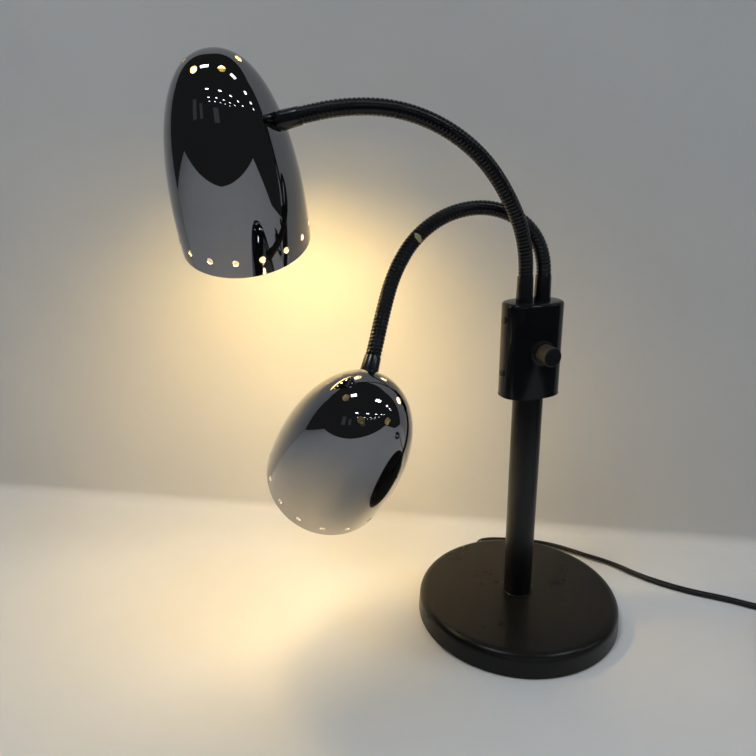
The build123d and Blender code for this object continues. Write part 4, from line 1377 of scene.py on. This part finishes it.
# ---------------- mains cord
@dataclass
class MainsCord:
    """The flat two-core cord, its relief at the base, its stored coil and its plug."""

    length: float = 1.8
    lobe: float = 1.85
    web: float = 1.2
    exit_azimuth: float = 114.0
    exit_z: float = 5.2
    # x, y, z of each point of the route, and the cord's roll there: 0 on edge, 90 flat
    route: tuple[Row, ...] = (
        (-40.2, 90.3, 5.2, 0), (-43.0, 96.6, 4.3, 18), (-43.2, 102.0, 3.6, 42),
        (-38.5, 107.2, 3.3, 54), (-29.5, 110.9, 3.1, 57), (-17.0, 113.2, 2.95, 58),
        (2.0, 115.4, 2.85, 58), (21.0, 115.5, 2.83, 58), (42.5, 111.2, 2.83, 58),
        (66.0, 100.8, 2.83, 58), (93.0, 91.2, 2.80, 60), (116.0, 74.8, 2.40, 75),
        (141.0, 63.6, 1.90, 90), (166.0, 56.6, 1.87, 90), (192.0, 52.6, 1.86, 90),
        (217.0, 45.4, 2.05, 86), (241.5, 40.6, 3.45, 45), (263.7, 34.2, 3.7, 0),
    )
    coil_centre: tuple[float, float] = (253.2, -8.0)
    coil_start: float = 76.0
    coil_radii: tuple[float, float] = (43.5, 31.5)
    coil_layers: tuple[float, float] = (3.72, 11.2)
    coil_turns: tuple[float, float] = (3.0, 2.906)
    climb_steps: int = 4
    per_turn: int = 20
    # angle about the coil, radius, height and roll of the end that climbs to the plug
    tail: tuple[Row, ...] = (
        (96, 43.4, 11.8, 0), (83, 43.4, 13.6, 5), (70, 43.0, 16.2, 20),
        (57, 42.2, 18.8, 45), (45, 41.4, 21.0, 70), (33, 41.0, 22.1, 88),
    )
    plug_back: Triple = (287.7, 6.0, 22.2)
    plug_inside: float = 4.0
    plug_neck: float = 14.0
    plug_size: Triple = (24.0, 30.0, 14.0)
    # how much of its width the plug loses at its waist, and in each groove of its grip
    plug_waist: float = 0.075
    plug_groove: float = 0.02
    blade: Triple = (1.5, 22.0, 6.35)
    blade_root: float = 6.0
    blade_spacing: float = 12.7
    blade_hole: tuple[float, float] = (1.6, 12.4)

    def build(self) -> None:
        """Lays the cord and makes what is on it."""
        points = self.points()
        line = self.sampled(points)
        relief = self.make_relief()
        plug, blades = self.make_plug(), self.make_blades()
        flex = self.skin(line, self.rolls(points, line))
        show(flex, [VINYL], "cord_black", "stand", "cord_run", "cord_coil", sharp=60)

    def points(self) -> list[tuple[Vector, float]]:
        """The whole route in metres with its rolls: the run, the coil and the tail."""
        x, y = self.coil_centre
        out, inside = self.coil_radii
        low, high = self.coil_layers
        swell = 1 / math.cos(math.pi / self.per_turn)
        pitch = (out - inside) / self.coil_turns[0]
        angle = self.coil_start
        around = []
        for layer, turns in enumerate(self.coil_turns):
            count = round(turns * self.per_turn)
            for step in range(1, count + 1):
                travelled = step / self.per_turn
                radius, height = out - pitch * travelled, low
                if layer == 1:
                    radius = inside + pitch * travelled
                    height = low + (high - low) * min(1.0, step / self.climb_steps)
                around.append((angle - 360 * travelled, radius, height, 0.0))
            angle -= 360 * count / self.per_turn
        route = [(Vector(place), roll) for *place, roll in self.route]
        for turn, radius, height, roll in (*around, *self.tail):
            bearing, reach = math.radians(turn), radius * swell
            place = (x + reach * math.cos(bearing), y + reach * math.sin(bearing), height)
            route.append((Vector(place), roll))
        back, inward = Vector(self.plug_back), Vector((0, self.plug_inside, 0))
        route += [(back + inward, 90), (back - inward, 90)]
        return [(place * MM, roll) for place, roll in route]

    def sampled(self, points: list[tuple[Vector, float]]) -> list[Vector]:
        """Reads points along the smooth line that the route controls.

        Args:
            points: The route with its rolls.

        Returns:
            Points along the line, from the exit to the plug.
        """
        curve = bpy.data.curves.new("cord_line", "CURVE")
        curve.dimensions = "3D"
        curve.resolution_u = 6
        spline = curve.splines.new("NURBS")
        spline.points.add(len(points) - 1)
        for control, (place, _) in zip(spline.points, points):
            control.co = (*place, 1)
        spline.order_u = 3
        spline.use_endpoint_u = True
        line = placed("cord_line", curve)
        bpy.context.view_layer.update()
        mesh = bpy.data.meshes.new_from_object(line)
        places = [vertex.co.copy() for vertex in mesh.vertices]
        bpy.data.objects.remove(line)
        bpy.data.meshes.remove(mesh)
        return places

    def rolls(self, points: list[tuple[Vector, float]], line: list[Vector]) -> list[float]:
        """The cord's roll at each point of its line, eased between the route's own.

        Args:
            points: The route with its rolls.
            line: The points along the line.

        Returns:
            The rolls in radians.
        """
        route = self.shares([place for place, _ in points])
        made, here = [], 0
        for share in self.shares(line):
            while here < len(route) - 2 and route[here + 1] < share:
                here += 1
            step = (share - route[here]) / max(route[here + 1] - route[here], 1e-9)
            step = min(max(step, 0.0), 1.0)
            made.append(math.radians(points[here][1] * (1 - step) + points[here + 1][1] * step))
        return made

    def shares(self, places: list[Vector]) -> list[float]:
        """Measures how far along the whole each point is.

        Args:
            places: Points along a line.

        Returns:
            The share before each point, from 0 to 1.
        """
        reached = [0.0]
        for before, here in zip(places, places[1:]):
            reached.append(reached[-1] + (here - before).length)
        return [value / reached[-1] for value in reached]

    def section(self) -> Profile:
        """The figure-of-eight section: two round cores with a web between them."""
        lobe = [math.radians(-128 + 256 * step / 9) for step in range(10)]
        right = [(self.lobe + self.lobe * math.cos(a), self.lobe * math.sin(a)) for a in lobe]
        left = [(-across, -thick) for across, thick in right]
        return [*right, (0, self.web), *left, (0, -self.web)]

    def skin(self, line: list[Vector], rolls: list[float]) -> bpy.types.Object:
        """Lays the section along the line, rolled as it lies.

        Args:
            line: The points along the cord's middle.
            rolls: The roll at each point.

        Returns:
            The cord's mesh.
        """
        section = self.section()
        count = len(section)
        places, faces = [], []
        for index, (here, roll) in enumerate(zip(line, rolls)):
            aim = (line[min(index + 1, len(line) - 1)] - line[max(index - 1, 0)]).normalized()
            side = aim.cross(Vector((0, 0, 1))).normalized()
            wide = side.cross(aim) * math.cos(roll) + side * math.sin(roll)
            thin = aim.cross(wide)
            places += [here + (wide * a + thin * b) * MM for a, b in section]
            if index > 0:
                last, this = (index - 1) * count, index * count
                for n in range(count):
                    after = (n + 1) % count
                    faces.append((last + n, last + after, this + after, this + n))
        faces.append(tuple(range(count - 1, -1, -1)))
        faces.append(tuple(range(len(places) - count, len(places))))
        mesh = bpy.data.meshes.new("flat_flex")
        mesh.from_pydata(places, [], faces)
        flex = placed("flat_flex", mesh)
        with editing(flex):
            bpy.ops.mesh.normals_make_consistent(inside=False)
        return flex

    def make_relief(self) -> bpy.types.Object:
        """Turns the tapered relief with its ribs, out through the notch in the base."""
        section = [
            (2.0, 74), (3.2, 74, 0.2), (3.2, 84.6), (4.2, 84.6, 0.2), (4.2, 86.4),
            (4.8, 86.4, 0.3), (4.8, 88.2, 0.3), (3.9, 88.2), (3.9, 89.9), (4.8, 89.9, 0.3),
            (4.8, 91.4, 0.4),
        ]
        for out, size in ((92.4, 4.1), (94.2, 3.95), (96.0, 3.8)):
            section += [(size, out - 0.5), (size, out + 0.4, 0.2)]
            section += [(size - 0.35, out + 0.6), (size - 0.35, out + 1.1)]
        section += [(3.45, 97.4), (3.4, 98.8, 0.3), (2.0, 98.8), (2.0, 74)]
        relief = turned("cord_exit_relief", rounded(section, 3), 40)
        level = Matrix.Translation((0, 0, self.exit_z * MM))
        azimuth = Matrix.Rotation(math.radians(self.exit_azimuth), 4, "Z")
        settle(relief, level @ azimuth @ Matrix.Rotation(math.pi / 2, 4, "Y"))
        show(relief, [VINYL], "cord_black", "stand", "cord_relief")
        return relief

    def make_plug(self) -> bpy.types.Object:
        """Moulds the plug: a soft block with a waisted grip, and its tapered neck."""
        back, long = Vector(self.plug_back), self.plug_size[1]
        grip = block(self.plug_size, back - Vector((0, self.plug_neck + long / 2, 0)))
        front = (back.y - self.plug_neck - long) * MM
        with editing(grip):
            for share in (0.18, 0.3, 0.42, 0.54, 0.66, 0.78):
                bpy.ops.mesh.select_all(action="SELECT")
                place = (0, front + share * long * MM, 0)
                bpy.ops.mesh.bisect(plane_co=place, plane_no=(0, 1, 0))
        middle = back.x * MM
        for vertex in grip.data.vertices:
            share = (vertex.co.y - front) / (long * MM)
            waist = self.plug_waist * math.sin(math.pi * min(max((share - 0.1) / 0.8, 0), 1))
            grooved = 0.25 < share < 0.7 and round(share / 0.12) % 2
            groove = self.plug_groove if grooved else 0.0
            vertex.co.x = middle + (vertex.co.x - middle) * (1 - waist - groove)
        ease(grip, 2.2, 4)
        neck = turned("plug_neck", rounded([
            (0, 0), (3.7, 0, 0.4), (3.9, 4, 0.2), (3.5, 4.6), (3.7, 5.4), (4.6, 8.4, 0.2),
            (4.2, 9), (4.5, 9.8), (5.8, 14.4), (0, 14.4),
        ], 3), 40)
        settle(neck, Matrix.Translation(back * MM) @ Matrix.Rotation(math.pi / 2, 4, "X"))
        plug = join([grip, neck], "moulded_plug")
        show(plug, [VINYL], "plug_black", "stand", "plug_body", sharp=35)
        return plug

    def make_blades(self) -> bpy.types.Object:
        """Stamps the two flat blades, each with its small hole and eased tip."""
        x, back, z = Vector(self.plug_back)
        front = back - self.plug_neck - self.plug_size[1]
        hole, out = self.blade_hole
        blades = []
        middle = front + self.blade_root - self.blade[1] / 2
        for side in (x - self.blade_spacing / 2, x + self.blade_spacing / 2):
            blades.append(block(self.blade, (side, middle, z)))
            ease(blades[-1], 0.35, 2)
            cut(blades[-1], rod(hole, 4, (side, front - out, z), (0, math.pi / 2, 0)))
        pair = join(blades, "plug_blade_pair")
        show(pair, [BRASS], "blade_brass", "stand", "plug_blades")
        return pair


# ---------------- pieces kept from the model
@dataclass
class Hardware:
    """The model's own plain parts, each in its finish."""

    finishes: dict[str, Finish] = field(
        default_factory=lambda: {
            "base_weight": IRON,
            "base_pad": PAD,
            "base_washer": STEEL,
            "base_nut": STEEL,
            "post_rod": STEEL,
            "post_bushes": NYLON,
            "floor_nut": STEEL,
            "housing_floor": HOUSING_PAINT,
            "housing_bracket": STEEL,
            "switch_body": HOLDER_PLASTIC,
            "switch_ring": RING_PAINT,
            "switch_shaft": STEEL,
            "arm_root_nuts": STEEL,
            "inner_lead": VINYL,
        }
    )

    def build(self) -> None:
        """Dresses the plain parts of the stand and of both heads."""
        finishes = dict(self.finishes)
        for side in ("high", "low"):
            for part in ("nipple", "nipple_nut", "socket_bracket"):
                finishes[f"{side}_{part}"] = STEEL
            finishes[f"{side}_bulb_cap"] = CAP_METAL
        for name, finish in finishes.items():
            paint_node(frame["nodes"][name], finish)


def paint_node(node: bpy.types.Object, finish: Finish) -> None:
    """Puts a finish in the material slots of one of the model's own parts.

    Args:
        node: The part.
        finish: Its finish.
    """
    for slot in node.material_slots:
        slot.material = finish.material()
    log.info("%s keeps its own shape", node.name)


def main() -> None:
    """Builds the studio, then the lamp from its cord and base up to its heads."""
    logging.basicConfig(level=logging.INFO, format="%(message)s")
    Studio().build()
    MainsCord().build()
    Base().build()
    Post().build()
    Housing().build()
    for shape in ARMS:
        Arm(shape).build()
        Head(shape).build()
    Hardware().build()


if __name__ == "__main__":
    main()
